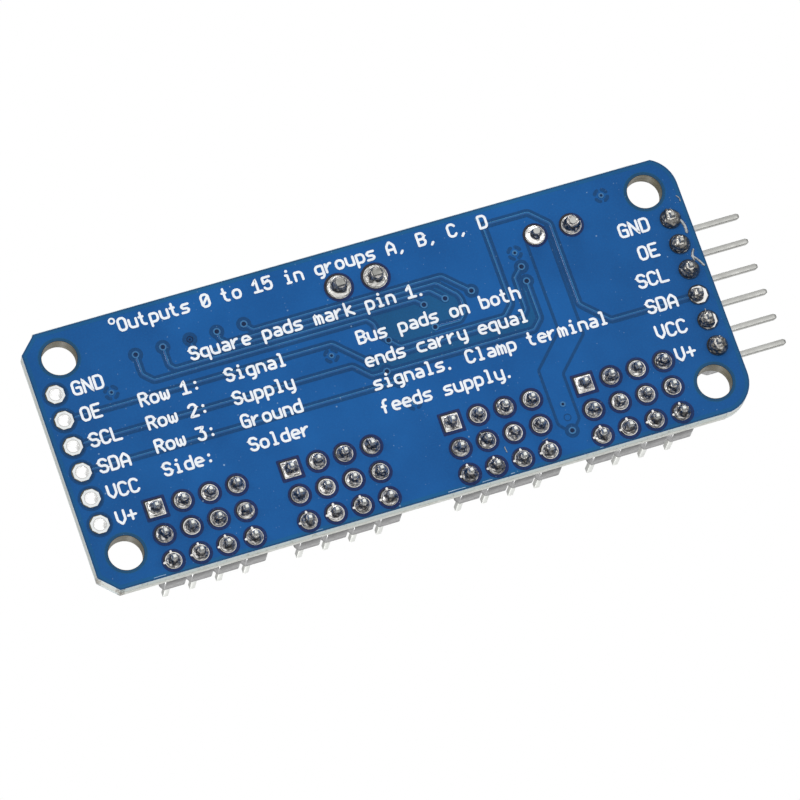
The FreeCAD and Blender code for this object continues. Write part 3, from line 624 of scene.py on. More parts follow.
# Strokes of each character on a grid four wide. Each point is two digits: across, then up, where
# 2 is the baseline, 6 the height of small letters and 8 the height of capitals.
GLYPHS = {
    "A": "02 06 28 46 42,04 44", "B": "02 08 38 47 46 35 05,35 44 43 32 02", "C": "47 38 18 07 03 12 32 43",
    "D": "02 08 38 47 43 32 02", "E": "42 02 08 48,05 35", "G": "47 38 18 07 03 12 42 45 25",
    "L": "08 02 42", "M": "02 08 25 48 42", "N": "02 08 42 48", "O": "12 03 07 18 38 47 43 32 12",
    "P": "02 08 38 47 46 35 05", "R": "02 08 38 47 46 35 05,25 42",
    "S": "03 12 32 43 44 35 15 06 07 18 38 47", "V": "08 04 22 44 48", "W": "08 02 25 42 48",
    "0": "12 03 07 18 38 47 43 32 12,03 47", "1": "06 28 22,02 42", "2": "07 18 38 47 46 02 42",
    "3": "08 48 26 36 45 43 32 12 03", "4": "32 38 04 44", "5": "48 08 05 26 36 45 43 32 12 03",
    "6": "48 28 06 03 12 32 43 44 35 05", "7": "08 48 47 03 02",
    "8": "12 03 04 15 35 46 47 38 18 07 06 15,35 44 43 32 12", "9": "02 22 44 47 38 18 07 06 15 45",
    "a": "16 36 45 42 12 03 14 44", "b": "08 02 32 43 45 36 06", "c": "46 16 05 03 12 42",
    "d": "48 42 12 03 05 16 46", "e": "32 12 03 05 16 36 45 44 04", "f": "12 17 28 38,05 25",
    "g": "20 30 41 46 16 05 03 12 42", "h": "02 08,06 36 45 42", "i": "16 26 22,12 32,28",
    "k": "02 08,04 36,14 42", "l": "18 28 22,12 32", "m": "02 06 16 25 22,25 36 45 42",
    "n": "02 06 36 45 42", "o": "12 03 05 16 36 45 43 32 12", "p": "00 06 36 45 43 32 02",
    "q": "40 46 16 05 03 12 42", "r": "02 06,04 26 36", "s": "02 32 43 34 14 05 16 46",
    "t": "18 13 22 32,06 26", "u": "06 03 12 42 46", "v": "06 04 22 44 46",
    "w": "06 03 12 23 32 43 46,23 25", "y": "06 03 12 42,46 41 30 20", ":": "23,26", ".": "12",
    ",": "22 11", "-": "05 45", "+": "05 45,23 27",
}
LETTER_HEIGHT = 1.14
LETTER_ADVANCE = 0.98
LETTER_STROKE = 0.235
LETTER_NARROWING = 0.88


def write(relief, text, u, v, height=LETTER_HEIGHT, advance=LETTER_ADVANCE, stroke=LETTER_STROKE):
    """Draws a line of text whose first character's lower left corner is at (u, v)."""
    unit = height / 6
    unit_u = unit * LETTER_NARROWING
    for index, character in enumerate(text):
        if character == " ":
            continue
        for line in GLYPHS[character].split(","):
            points = []
            for code in line.split():
                across = u + index * advance + int(code[0]) * unit_u
                points.append((across, v + (int(code[1]) - 2) * unit))
            if len(points) == 1:
                relief.disc(points[0][0], points[0][1], stroke * 0.62, 12)
            else:
                relief.line(rounded_path(points, unit * 0.55, 2), stroke, 3)


PIN_LABELS = ["GND", "OE", "SCL", "SDA", "VCC", "V+"]


def solder_side_legend():
    ink = Relief(SOLDER_SIDE, 0.045, 0.012)
    write(ink, "Outputs 0 to 15 in groups A, B, C, D", -21.9, 10.4)
    ink.ring(circle(-22.4, 11.5, 0.33, 16), circle(-22.4, 11.5, 0.17, 16))
    write(ink, "Square pads mark pin 1.", -16.6, 5.95)
    table = [("Row 1:", "Signal"), ("Row 2:", "Supply"), ("Row 3:", "Ground"), ("Side:", "Solder")]
    block = ["Bus pads on both", "ends carry equal", "signals. Clamp terminal", "feeds supply."]
    for index, (label, value) in enumerate(table):
        baseline = 3.1 - 2.28 * index
        write(ink, label, -22.3, baseline)
        write(ink, value, -14.2, baseline)
        write(ink, block[index], -1.7, baseline)
    for row, label in zip(SIDE_ROWS, PIN_LABELS):
        write(ink, label, -27.7, row - 0.55, 1.2, 1.02)
        write(ink, label, 27.35 - len(label) * 1.02 + 0.15, row - 0.45, 1.2, 1.02)
    ink.finish("solder_side_legend", INK)


# ------------------------------------------------------------------ copper under the mask

TRACK_WIDTH = 0.25
# Width of the painted glint line along one edge of each track.
GLINT_LINE_WIDTH = 0.07
GAP_WIDTH = 0.255

# Tracks on the solder side, as seen from below.
TRACKS = [
    [(-28.3, 3.81), (-4.1, 3.81), (-1.35, 1.15)],
    [(-28.3, 1.27), (-3.0, 1.27), (-1.58, -0.15), (13.9, -0.15), (14.78, 0.75), (14.78, 4.45)],
    [(-28.3, -1.27), (0.6, -1.27)],
    [(-21.32, 7.87), (-21.32, 5.95), (-20.47, 5.1), (-0.35, 5.1), (0.12, 4.5), (0.22, 3.4), (0.9, 2.66)],
    [(-18.75, 7.87), (-18.75, 6.05), (-18.3, 5.6), (4.45, 5.6), (5.07, 4.95)],
    [(-16.2, 7.35), (-16.2, 6.65), (-15.65, 6.1), (5.97, 6.1), (7.1, 4.97)],
    [(-13.65, 7.87), (-13.65, 7.15), (-13.1, 6.6), (6.78, 6.6), (8.3, 5.05), (8.5, 4.5), (8.42, 3.3),
     (7.75, 2.63), (5.36, 2.66)],
    [(-11.1, 7.87), (-10.5, 7.1), (7.45, 7.1), (9.63, 5.0)],
    [(28.3, -1.27), (20.9, -1.27), (18.6, 1.0), (18.6, 9.1), (17.0, 10.65), (12.7, 10.65),
     (12.7, 2.75), (11.75, 1.8), (1.75, 1.8), (0.9, 2.66)],
    [(14.75, 5.88), (13.85, 5.05), (13.82, 1.85), (13.25, 1.3), (-1.27, 1.2)],
]
VIAS = [
    (-21.32, 7.87), (-18.75, 7.87), (-13.65, 7.87), (-11.1, 7.87), (-1.27, 1.2),
    (-0.2, -0.1), (0.6, -1.27), (9.63, 5.0), (14.75, 5.88), (14.75, 4.45), (14.0, -10.2)]
OPEN_AREA_VIAS = [(0.9, 2.66), (5.07, 4.95), (7.1, 4.97), (5.36, 2.66)]
DARK_VIA = (-16.2, 7.87)
FAINT_VIA = (14.0, -8.9)
POUR_VIAS = [(14.0, -7.6), (12.4, 11.35)]
THERMAL_VIAS = [(-24.5, 5.1), (-4.5, 2.75), (1.2, -3.6), (14.6, 7.3), (24.0, 10.3)]
VIA_RIM_WIDTH = 0.13
VIA_DRILL = 0.21
PLANE_VIA_DRILL = 0.13
POUR_EDGE_WIDTH = 0.27
VIA_CLEARANCE = 0.68
BREAK_RADIUS = 0.58
BREAK_WIDTH = 0.33
BREAK_ANGLE = 0.72
POUR_EDGES = [
    [(15.95, 8.3), (15.95, -0.9), (12.95, -3.95), (12.95, -9.3), (13.5, -9.95), (14.3, -9.95)],
    [(18.05, 8.9), (18.05, -1.8), (15.0, -4.85), (15.0, -9.3), (14.4, -9.95)],
]
# Stretches of the solder side that carry no copper.
OPEN_AREAS = [
    [(-0.1, 5.3), (4.4, 5.3), (5.2, 5.6), (6.0, 5.9), (6.8, 6.3), (8.15, 5.0), (8.3, 4.4), (8.2, 3.3),
     (7.6, 2.75), (5.4, 2.4), (5.0, 2.0), (1.8, 2.0), (1.1, 2.3), (0.3, 3.0), (0.2, 4.5)],
    [(-1.75, 0.55), (-0.9, 1.05), (13.2, 1.05), (14.02, 1.85), (14.02, 4.1), (14.6, 4.1), (14.55, 0.8),
     (13.75, 0.05), (-1.3, 0.05)],
]
RIM_WIDTH = 0.42
# Widths of the band of painted shade at the board's edge and round each mounting hole.
CUT_SHADE_WIDTH = 0.13
HOLE_CUT_SHADE_WIDTH = 0.24
HOLE_RIM_WIDTH = 0.32


# Layers under the mask, from the laminate outward, as (name, height, slope, material). The edges layer is
# painted shade at the cut edges, the track edge glint layer is painted highlights and the via hole layer is
# painted shade.
LAYERS = [
    ("open", 0.002, 0.0, MASK_TEAL), ("rim", 0.003, 0.0, MASK_RIM), ("edges", 0.006, 0.0, MASK_CUT_SHADE),
    ("gaps", 0.009, 0.0, MASK_GAP), ("tracks", 0.030, 0.06, MASK_TRACK),
    ("track_edges", 0.037, 0.02, MASK_EDGE_GLINT), ("via_rims", 0.044, 0.0, MASK_VIA),
    ("via_hole_shade", 0.040, 0.0, VIA_HOLE_SHADE)]


def copper_layers(side):
    return {name: Relief(side, height, slope) for name, height, slope, _ in LAYERS}


def finish_layers(layers, prefix):
    for name, _, _, material in LAYERS:
        if layers[name].points:
            layers[name].finish(prefix + "_" + name, material)


def via(layers, u, v, cleared=True, drill=VIA_DRILL):
    """Plated through-hole under the mask: dark clearance, raised rim, and a dark disc of painted shade
    where its drilled hole is.
    """
    if cleared:
        layers["gaps"].disc(u, v, VIA_CLEARANCE)
    layers["via_rims"].round_ring(u, v, drill + VIA_RIM_WIDTH, drill)
    layers["via_hole_shade"].disc(u, v, drill, 20)


def thermal_breaks(gaps, u, v):
    """Four dark arcs round a via that joins the ground plane."""
    for quarter in range(4):
        start = math.pi * (quarter / 2 + 0.25) - BREAK_ANGLE / 2
        gaps.line(arc(u, v, BREAK_RADIUS, start, BREAK_ANGLE, 4), BREAK_WIDTH)


def board_rims(layers, side):
    """Copper-free margins along the board's edge and round each mounting hole, with a thin dark band of
    painted shade at each cut edge.
    """
    for layer, edge_width, hole_width in (
            ("rim", RIM_WIDTH, HOLE_RIM_WIDTH), ("edges", CUT_SHADE_WIDTH, HOLE_CUT_SHADE_WIDTH)):
        outlines = [[(x * side, y) for x, y in board_outline(inset)] for inset in (0.03, edge_width)]
        layers[layer].ring(*outlines)
        for u in (-MOUNT_X, MOUNT_X):
            for v in (-MOUNT_Y, MOUNT_Y):
                layers[layer].round_ring(u, v, HOLE_EDGE_RADIUS + hole_width, HOLE_EDGE_RADIUS, 48)


def route(layers, points, width=TRACK_WIDTH, gap=GAP_WIDTH):
    """Track under the mask, with a painted highlight: a thin pale line along its edge towards the terminal,
    where light would glint.
    """
    path = rounded_path(points)
    layers["gaps"].line(path, width + 2 * gap)
    layers["tracks"].line(path, width)
    run = max(zip(path, path[1:]), key=lambda ends: math.dist(*ends))
    along_u = run[1][0] - run[0][0]
    along_v = run[1][1] - run[0][1]
    # Painted glint: it goes on whichever side of the track faces the light, towards the terminal.
    glint_side = 1 if along_u * 0.85 - along_v * 0.5 > 0 else -1
    layers["track_edges"].line(beside(path, glint_side * 0.27 * width), GLINT_LINE_WIDTH, 2)


def solder_side_copper():
    layers = copper_layers(SOLDER_SIDE)
    board_rims(layers, SOLDER_SIDE)
    for outline in OPEN_AREAS:
        layers["open"].plate(outline)
    for points in TRACKS:
        route(layers, points)
    for points in POUR_EDGES:
        layers["gaps"].line(rounded_path(points), POUR_EDGE_WIDTH)
    for place in VIAS:
        via(layers, *place)
    for place in OPEN_AREA_VIAS:
        via(layers, *place, cleared=False)
    for u, v in POUR_VIAS + THERMAL_VIAS:
        via(layers, u, v, cleared=False, drill=PLANE_VIA_DRILL)
    for u, v in THERMAL_VIAS:
        thermal_breaks(layers["gaps"], u, v)
    layers["gaps"].disc(*DARK_VIA, VIA_CLEARANCE)
    # Painted shade of this via's hole, as a dark ring and a dot.
    layers["via_hole_shade"].round_ring(*DARK_VIA, 0.30, 0.24)
    layers["via_hole_shade"].disc(*DARK_VIA, 0.10, 16)
    layers["gaps"].round_ring(*FAINT_VIA, 0.36, 0.27)
    finish_layers(layers, "solder_side")


def pin_places():
    """Every servo pin as (x, y, whether its pad is square, whether it is on the ground plane)."""
    places = []
    for centre in GROUP_X:
        for column in range(COLUMNS):
            for row, y in enumerate(ROW_Y):
                x = centre + (column - 1.5) * PITCH
                places.append((x, y, row == 0 and column == COLUMNS - 1, row == 2))
    return places


# The mask openings sit a little off their pads, so that laminate shows on one side of each.
OPENING_SHIFT = (-0.075, 0.07)
PAD_RADIUS = 0.78
SQUARE_PAD = 1.55
SIDE_PAD_FLATS = 1.63
# Larger round pads, as (place, radius of the dark ring, of the mask opening and of the pad).
LARGE_PADS = [((-x, POLE_Y), 1.38, 1.22, 1.12) for x in POLE_X]
LARGE_PADS += [((-x, CAP_CENTRE.y), 1.16, 1.02, 0.93) for x in CAP_LEAD_X]


def solder_side_pads():
    """Pads with their dark clearances, and the webs that tie ground pads to the plane."""
    shift_u, shift_v = OPENING_SHIFT
    rings = Relief(SOLDER_SIDE, 0.017)
    header_rings = Relief(SOLDER_SIDE, 0.017)
    bare = Relief(SOLDER_SIDE, 0.024)
    pads = Relief(SOLDER_SIDE, 0.055, 0.02)
    for x, v, is_square, is_ground in pin_places():
        u = -x
        if is_square:
            rings.plate(rounded_square(u, v, 2.16, 0.12))
            bare.plate(rounded_square(u + shift_u, v + shift_v, 1.68, 0.1))
            pads.plate(
                rounded_square(u, v, SQUARE_PAD, 0.08), rounded_square(u, v, SQUARE_PAD - 0.04, 0.06))
        else:
            rings.disc(u, v, 1.09)
            bare.disc(u + shift_u, v + shift_v, 0.84)
            pads.disc(u, v, PAD_RADIUS)
        if is_ground:
            pads.line([(u, v + 0.6), (u, v + 0.86)], 0.24)
            pads.line([(u - 0.6, v), (u - 0.85, v)], 0.24)
    for v in SIDE_ROWS:
        header_rings.disc(-HEADER_X, v, 1.0)
        bare.disc(-HEADER_X + shift_u / 2, v + shift_v / 2, 0.91)
        pads.plate(octagon(-HEADER_X, v, SIDE_PAD_FLATS), octagon(-HEADER_X, v, SIDE_PAD_FLATS - 0.04))
    for (u, v), ring_radius, opening_radius, pad_radius in LARGE_PADS:
        rings.disc(u, v, ring_radius)
        bare.disc(u + shift_u, v + shift_v, opening_radius)
        pads.disc(u, v, pad_radius)
    rings.finish("solder_side_pad_clearances", MASK_RING)
    header_rings.finish("bus_header_pad_clearances", MASK_HALO)
    bare.finish("solder_side_mask_openings", BARE)
    pads.finish("solder_side_pads", PAD_TIN, "pad_plating")


# Rings round each breakout pad, as (name, height, shift in u and v, outer radius, material).
BREAKOUT_RINGS = [
    ("breakout_clearances_", 0.014, 0.0, 0.0, 1.19, MASK_GAP),
    ("breakout_halos_", 0.020, 0.02, -0.02, 1.03, MASK_HALO),
    ("breakout_mask_openings_", 0.026, -0.05, 0.03, 0.90, BARE_OLIVE)]
BREAKOUT_RING_HOLE = 0.64


def breakout_clearances(side, suffix):
    """Dark rings round the plated breakout pads, on either face."""
    u = BREAKOUT_X * side
    for name, height, shift_u, shift_v, radius, material in BREAKOUT_RINGS:
        relief = Relief(side, height)
        for v in SIDE_ROWS:
            relief.ring(circle(u + shift_u, v + shift_v, radius), circle(u, v, BREAKOUT_RING_HOLE))
        relief.finish(name + suffix, material)


# ------------------------------------------------------------------ solder joints


# Side view of each kind of joint, as (share of the foot's radius, share of the height).
WETTED_PIN = [
    (1.0, 0.0), (0.97, 0.05), (0.90, 0.10), (0.80, 0.17), (0.69, 0.27), (0.60, 0.42),
    (0.55, 0.60), (0.52, 0.78), (0.48, 0.91), (0.40, 0.98), (0.18, 1.0), (0.02, 1.003)]
ROUND_LUMP = [
    (1.0, 0.0), (0.99, 0.12), (0.94, 0.28), (0.86, 0.45), (0.75, 0.62), (0.61, 0.78),
    (0.44, 0.90), (0.25, 0.97), (0.09, 1.0), (0.02, 1.002)]
BROAD_FOOT = [
    (1.0, 0.0), (0.97, 0.06), (0.89, 0.10), (0.76, 0.14), (0.60, 0.20), (0.47, 0.34),
    (0.43, 0.52), (0.42, 0.72), (0.37, 0.88), (0.24, 0.965), (0.09, 1.0), (0.02, 1.005)]
BROAD_TIP = [
    (1.0, 0.0), (0.97, 0.05), (0.91, 0.10), (0.84, 0.18), (0.77, 0.34), (0.73, 0.55),
    (0.70, 0.76), (0.65, 0.91), (0.52, 0.98), (0.25, 1.0), (0.02, 1.003)]
WETTED_TAIL = [
    (1.0, 0.0), (0.97, 0.05), (0.90, 0.09), (0.79, 0.14), (0.67, 0.21), (0.59, 0.34), (0.565, 0.55),
    (0.55, 0.78), (0.52, 0.91), (0.43, 0.98), (0.20, 1.0), (0.02, 1.003)]
SOLDER_SEGMENTS = 48
# Radius of each bus header joint, and how far inward all of them reach from their pins. A smaller joint
# leaves the outer part of its pad bare.
BUS_FOOT = [0.86, 0.82, 0.85, 0.66, 0.73, 0.87]
BUS_FOOT_REACH = 0.85
PAD_TOP = 0.045


def eased(points, steps=3):
    """Smooth curve through points, with extra points between them."""
    curve = []
    padded = [points[0]] + points + [points[-1]]
    for before, start, end, after in zip(padded, padded[1:], padded[2:], padded[3:]):
        for step in range(steps):
            share = step / steps
            point = []
            for p0, p1, p2, p3 in zip(before, start, end, after):
                bend = 2 * p0 - 5 * p1 + 4 * p2 - p3
                turn = 3 * p1 - p0 - 3 * p2 + p3
                point.append(p1 + 0.5 * share * (p2 - p0 + share * (bend + share * turn)))
            curve.append(tuple(point))
    curve.append(points[-1])
    return curve


def solder_joint(x, y, foot, height, side_view, seed, rough, square=False):
    """Sections of one joint: solder that climbs from its pad, uneven as hand work is."""
    chance = random.Random(seed)
    height = height * chance.uniform(0.93, 1.07)
    fullness = chance.uniform(-0.10, 0.12)
    lean = (chance.uniform(-0.06, 0.06), chance.uniform(-0.06, 0.06))
    lobes = [(chance.uniform(0.01, 0.06), chance.uniform(0, 2 * math.pi)) for _ in range(4)]
    sections = []
    for share, climb in eased(side_view):
        belly = math.sin(math.pi * min(max(climb, 0), 1))
        section = []
        for index in range(SOLDER_SEGMENTS):
            angle = 2 * math.pi * index / SOLDER_SEGMENTS
            east = math.cos(angle)
            north = math.sin(angle)
            reach = foot * share * (1 + fullness * belly)
            if square:
                corner = 1 / max(abs(east), abs(north))
                reach *= 1 + (min(corner, 1.30) - 1) * (1 - min(climb * 3, 1))
            for order, (amount, phase) in enumerate(lobes):
                reach *= 1 + amount * math.sin((order + 1) * angle + phase) * belly
            spot = Vector((x + east * reach, y + north * reach, climb * height))
            grain = noise.noise(spot * 3.1) + 0.8 * noise.noise(spot * 6.7)
            reach += rough * grain * (0.4 + belly)
            sag = 0.05 * noise.noise(Vector((east * 2, north * 2, seed * 1.7)))
            sag += 0.4 * rough * noise.noise(spot * 5.3)
            depth = PAD_TOP + height * climb * (1 + sag)
            section.append((
                x + lean[0] * climb + reach * east, y + lean[1] * climb + reach * north, -depth))
        sections.append(section)
    return sections


def solder_piece(name, node, joints, material):
    """One mesh of several joints, in place of the CAD node's plain cones."""
    points = []
    faces = []
    for joint in joints:
        tube(points, faces, solder_joint(*joint))
    mesh = mesh_from(name, points, faces)
    smooth(mesh, 70)
    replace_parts(place_piece(mesh, name, material), node)


def all_solder():
    """Every solder joint under the board."""
    pins = [
        (x, y, random.Random(index).uniform(0.70, 0.76), 0.98, WETTED_PIN, index, 0.08, is_square)
        for index, (x, y, is_square, _) in enumerate(pin_places())]
    per_group = len(pins) // len(GROUPS)
    for group, name in enumerate(GROUPS):
        joints = pins[group * per_group:(group + 1) * per_group]
        solder_piece("servo_joints_" + name, "servo_solder_" + name, joints, SOLDER)
    bus = [
        (HEADER_X + BUS_FOOT_REACH - foot, y, foot, 1.02, ROUND_LUMP, 60 + index, 0.09)
        for index, (y, foot) in enumerate(zip(SIDE_ROWS, BUS_FOOT))]
    solder_piece("bus_header_joints", "bus_header_solder", bus, DULL_SOLDER)
    tails = [(x, POLE_Y, 1.08, 1.18, WETTED_TAIL, 70 + index, 0.11) for index, x in enumerate(POLE_X)]
    solder_piece("terminal_joints", "terminal_solder", tails, TERMINAL_SOLDER)
    leads = [
        (x, CAP_CENTRE.y, 0.88, 1.0, side_view, 82 + index, 0.08)
        for index, (x, side_view) in enumerate(zip(CAP_LEAD_X, (BROAD_TIP, BROAD_FOOT)))]
    solder_piece("capacitor_joints", "capacitor_solder", leads, SOLDER)


# Solder splashed beside the bus header and between servo pins, as seen from below.
SPLASHES = [
    ([(30.20, 5.95), (30.40, 5.40), (30.36, 4.75)], 0.30),
    ([(30.33, 2.95), (30.02, 2.45), (30.45, 1.95), (30.78, 1.30)], 0.24),
    ([(30.02, 2.45), (30.10, 2.00)], 0.20),
    ([(30.60, 8.30), (30.80, 8.05), (30.78, 7.75)], 0.12),
    ([(29.45, -2.75), (29.42, -3.0)], 0.14),
    ([(7.62, -9.95), (7.66, -10.4)], 0.13),
    ([(5.95, -8.05), (6.12, -8.2)], 0.12),
    ([(11.1, -10.35), (11.6, -10.25)], 0.06),
]


# Pale scratches in the mask just inside the front edge, as (start, length) along u.
SCRATCHES = [(1.4, 1.6), (4.65, 0.9), (7.35, 0.35), (-11.2, 0.7), (15.9, 0.5), (-26.3, 1.1)]


def edge_scratches():
    scratches = Relief(SOLDER_SIDE, 0.006)
    for start, length in SCRATCHES:
        v = FACE_LOW_Y + 0.18
        scratches.line([(start, v), (start + length / 2, v + 0.02), (start + length, v)], 0.045, 2)
    scratches.finish("edge_scratches", SCRATCHED)


def solder_splashes():
    splash = Relief(SOLDER_SIDE, 0.07, 0.06)
    for points, width in SPLASHES:
        splash.line(rounded_path(points, 0.3, 3), width)
    splash.finish("solder_splashes", SPLASHED, "solder")


# ------------------------------------------------------------------ component side

LEAD_PITCH = 0.65
LEADS_PER_SIDE = 14
LEAD_REACH = 3.2
CHIP_KEEP_OUT = (5.2, 3.5)
ELEMENT_PITCH = 0.8
ARRAY_Y = node_centre("output_resistor_arrays").y
TRANSISTOR = node_centre("polarity_transistor")
SMALL_PARTS = [
    (-24.0, 2.6), (-24.0, 0.6), (-24.0, -1.4), (-13.4, 0.4), (-13.4, 2.5), (3.4, 2.9), (3.4, 0.9),
    (-12.9, 4.6)]
JUMPER_X = [11.15 + 2.55 * index for index in range(6)]
JUMPER_Y = (9.15, 10.35)
FINE_TRACK = 0.24
FINE_GAP = 0.13
LANE_PITCH = 0.45
UPPER_POUR_EDGES = [
    [(-12.2, 11.7), (-12.2, 6.6), (-11.6, 6.0), (-4.7, 6.0), (-4.2, 6.5), (-4.2, 11.7)],
    [(-25.9, 7.6), (-25.9, 4.9), (-25.2, 4.2), (-17.4, 4.2), (-16.2, 3.0), (-16.2, -0.2), (-22.4, -0.2)],
    [(4.9, 11.7), (4.9, 7.2), (5.9, 6.2), (24.9, 6.2), (25.6, 5.5), (25.6, -3.2), (24.4, -4.4)],
]
UPPER_TRACKS = [
    [(-28.0, 3.81), (-26.6, 3.81), (-25.6, 2.8), (-25.0, 2.6)],
    [(-28.0, 1.27), (-26.3, 1.27), (-25.6, 0.6), (-25.0, 0.6)],
    [(-28.0, -1.27), (-25.0, -1.4)],
    [(-23.0, 2.6), (-17.6, 2.6), (-17.0, 2.0), (-17.0, 1.0), (-15.8, -0.2), (-12.9, -0.2)],
    [(-12.4, 0.4), (-11.6, 1.0), (-11.6, 2.0), (-12.4, 2.5)],
    [(-11.9, 4.6), (-10.9, 4.6), (-9.4, 3.1)],
    [(-14.75, 4.4), (-15.4, 3.7), (-14.4, 2.5)],
    [(-9.6, 5.0), (-8.825, 4.3)], [(-7.1, 4.9), (-6.875, 4.3)], [(-5.0, 4.9), (-4.925, 4.3)],
    [(1.35, 1.15), (2.4, 0.9)], [(0.3, 2.9), (2.4, 2.9)],
]


def lead_place(index):
    return CHIP_CENTRE.x + (index - (LEADS_PER_SIDE - 1) / 2) * LEAD_PITCH


def element_place(group, column):
    return GROUP_X[group] + (column - 1.5) * ELEMENT_PITCH


def signal_tracks():
    """Tracks from the chip's leads through the resistor arrays to the signal pins."""
    tracks = []
    array_top = ARRAY_Y + 0.85
    for group in range(len(GROUPS)):
        for column in range(COLUMNS):
            element = element_place(group, column)
            pin = GROUP_X[group] + (column - 1.5) * PITCH
            tracks.append([
                (element, ARRAY_Y - 0.85), (element, ARRAY_Y - 1.15), (pin, ARRAY_Y - 1.75),
                (pin, ROW_Y[0])])
    left_bundle = [(-8.9, -0.5), (-9.9, -0.5), (-11.55, -2.15), (-18.6, -2.15)]
    right_bundle = [(0.2, -2.55), (3.9, -2.55), (5.6, -0.85), (6.0, -0.85)]
    for lane in range(COLUMNS):
        lead = lead_place(LEADS_PER_SIDE - 1 - lane)
        near = element_place(1, lane)
        far = element_place(3, lane)
        rise = 0.4 * lane
        spread = 0.17 * lane
        left = beside(left_bundle, -LANE_PITCH * lane)
        right = beside(right_bundle, -LANE_PITCH * lane)
        start = right[0][1]
        right = [(lead, -1.9), (lead, start + 0.3), (lead + 0.3, start)] + right
        for path, group, turn in ((left, 0, 0.35), (right, 2, -0.35)):
            element = element_place(group, COLUMNS - 1 - lane)
            level = path[-1][1]
            path += [(element + turn, level), (element, level - 0.35), (element, array_top)]
        straight = [(lead_place(lane), -1.9), (near, -2.45), (near, array_top)]
        around = [
            (lead, 4.3), (lead, 4.75 + rise), (lead + 0.25, 5.0 + rise), (0.6 + spread, 5.0 + rise),
            (1.65 + spread, 3.95 + rise), (14.6 + 0.25 * lane, 3.95 + rise),
            (far, -0.57 - 0.15 * lane), (far, array_top)]
        tracks += [left, straight, right, around]
    return tracks


def under_chip(u, v):
    return abs(u - CHIP_CENTRE.x) < CHIP_KEEP_OUT[0] and abs(v - CHIP_CENTRE.y) < CHIP_KEEP_OUT[1]


def component_side_copper():
    layers = copper_layers(COMPONENT_SIDE)
    board_rims(layers, COMPONENT_SIDE)
    for points in signal_tracks() + UPPER_TRACKS:
        route(layers, points, FINE_TRACK, FINE_GAP)
    for x in JUMPER_X:
        route(layers, [(x, 7.85), (x, JUMPER_Y[0])])
    for points in UPPER_POUR_EDGES:
        layers["gaps"].line(rounded_path(points), POUR_EDGE_WIDTH)
    for u, v in VIAS + OPEN_AREA_VIAS + [DARK_VIA, (-JUMPER_X[-1], 7.85)]:
        if not under_chip(-u, v):
            via(layers, -u, v)
    for u, v in POUR_VIAS + THERMAL_VIAS:
        if not under_chip(-u, v):
            via(layers, -u, v, cleared=False, drill=PLANE_VIA_DRILL)
            thermal_breaks(layers["gaps"], -u, v)
    finish_layers(layers, "component_side")


def fillet(relief, u, v, width, depth, height, outward):
    """Solder that climbs from a pad up the end of a part; outward points away from the part."""
    outlines = []
    for share, rise in ((0.0, 0.0), (0.35, 0.22), (0.62, 0.6), (0.75, 1.0)):
        shrink_u = 1 - share * abs(outward[0]) - 0.12 * rise
        shrink_v = 1 - share * abs(outward[1]) - 0.12 * rise
        outlines.append(rectangle(
            u - outward[0] * width * share / 2, v - outward[1] * depth * share / 2,
            width * shrink_u, depth * shrink_v))
    relief.loft(
        [outlines[0]] + outlines,
        [0.0, 0.06, 0.06 + 0.22 * height, 0.06 + 0.6 * height, 0.06 + height])


# One end of each kind of surface-mounted part: the reach, width and depth of its pad, then the reach,
# width, depth and height of its solder.
LEAD_SEAT = (LEAD_REACH - 0.2, 0.36, 0.95, LEAD_REACH + 0.06, 0.30, 0.3, 0.09)
ARRAY_SEAT = (0.86, 0.5, 0.6, 0.93, 0.42, 0.38, 0.22)
SMALL_SEAT = (0.98, 0.95, 1.36, 1.16, 0.5, 1.2, 0.30)
TRANSISTOR_SEAT = (1.12, 0.75, 0.85, 1.32, 0.5, 0.32, 0.14)


def seats():
    """Each end of every surface-mounted part, as (u, v, direction it faces, kind of seat)."""
    parts = [(lead_place(index), CHIP_CENTRE.y, (0, 1), LEAD_SEAT) for index in range(LEADS_PER_SIDE)]
    for group in range(len(GROUPS)):
        for column in range(COLUMNS):
            parts.append((element_place(group, column), ARRAY_Y, (0, 1), ARRAY_SEAT))
    parts += [(u, v, (1, 0), SMALL_SEAT) for u, v in SMALL_PARTS]
    ends = []
    for u, v, along, seat in parts:
        ends += [(u, v, (-along[0], -along[1]), seat), (u, v, along, seat)]
    for offset, end in ((-0.95, -1), (0.95, -1), (0.0, 1)):
        ends.append((TRANSISTOR.x + offset, TRANSISTOR.y, (0, end), TRANSISTOR_SEAT))
    return ends


def component_side_pads():
    """Tinned pads and solder fillets of the surface-mounted parts."""
    pads = Relief(COMPONENT_SIDE, 0.05, 0.02)
    solder = Relief(COMPONENT_SIDE, 0.06)
    clear = Relief(COMPONENT_SIDE, 0.015)
    places = []
    for u, v, facing, (reach, width, depth, toe, *size) in seats():
        places.append((u + facing[0] * reach, v + facing[1] * reach, width, depth))
        fillet(solder, u + facing[0] * toe, v + facing[1] * toe, *size, facing)
    places += [(x, y, 1.15, 0.85) for x in JUMPER_X for y in JUMPER_Y]
    for u, v, width, depth in places:
        clear.plate(rectangle(u, v, width + 0.16, depth + 0.16))
        pads.plate(rectangle(u, v, width, depth), rectangle(u, v, width - 0.04, depth - 0.04))
    clear.finish("component_side_mask_openings", BARE_OLIVE)
    pads.finish("component_side_pads", PAD_TIN, "pad_plating")
    solder.finish("component_side_fillets", PAD_TIN, "solder")


LEGEND_LINE = 0.15


def centred(relief, text, u, v, height, advance):
    width = (len(text) - 1) * advance + height * 0.6
    write(relief, text, u - width / 2, v - height / 2, height, advance, LEGEND_LINE)


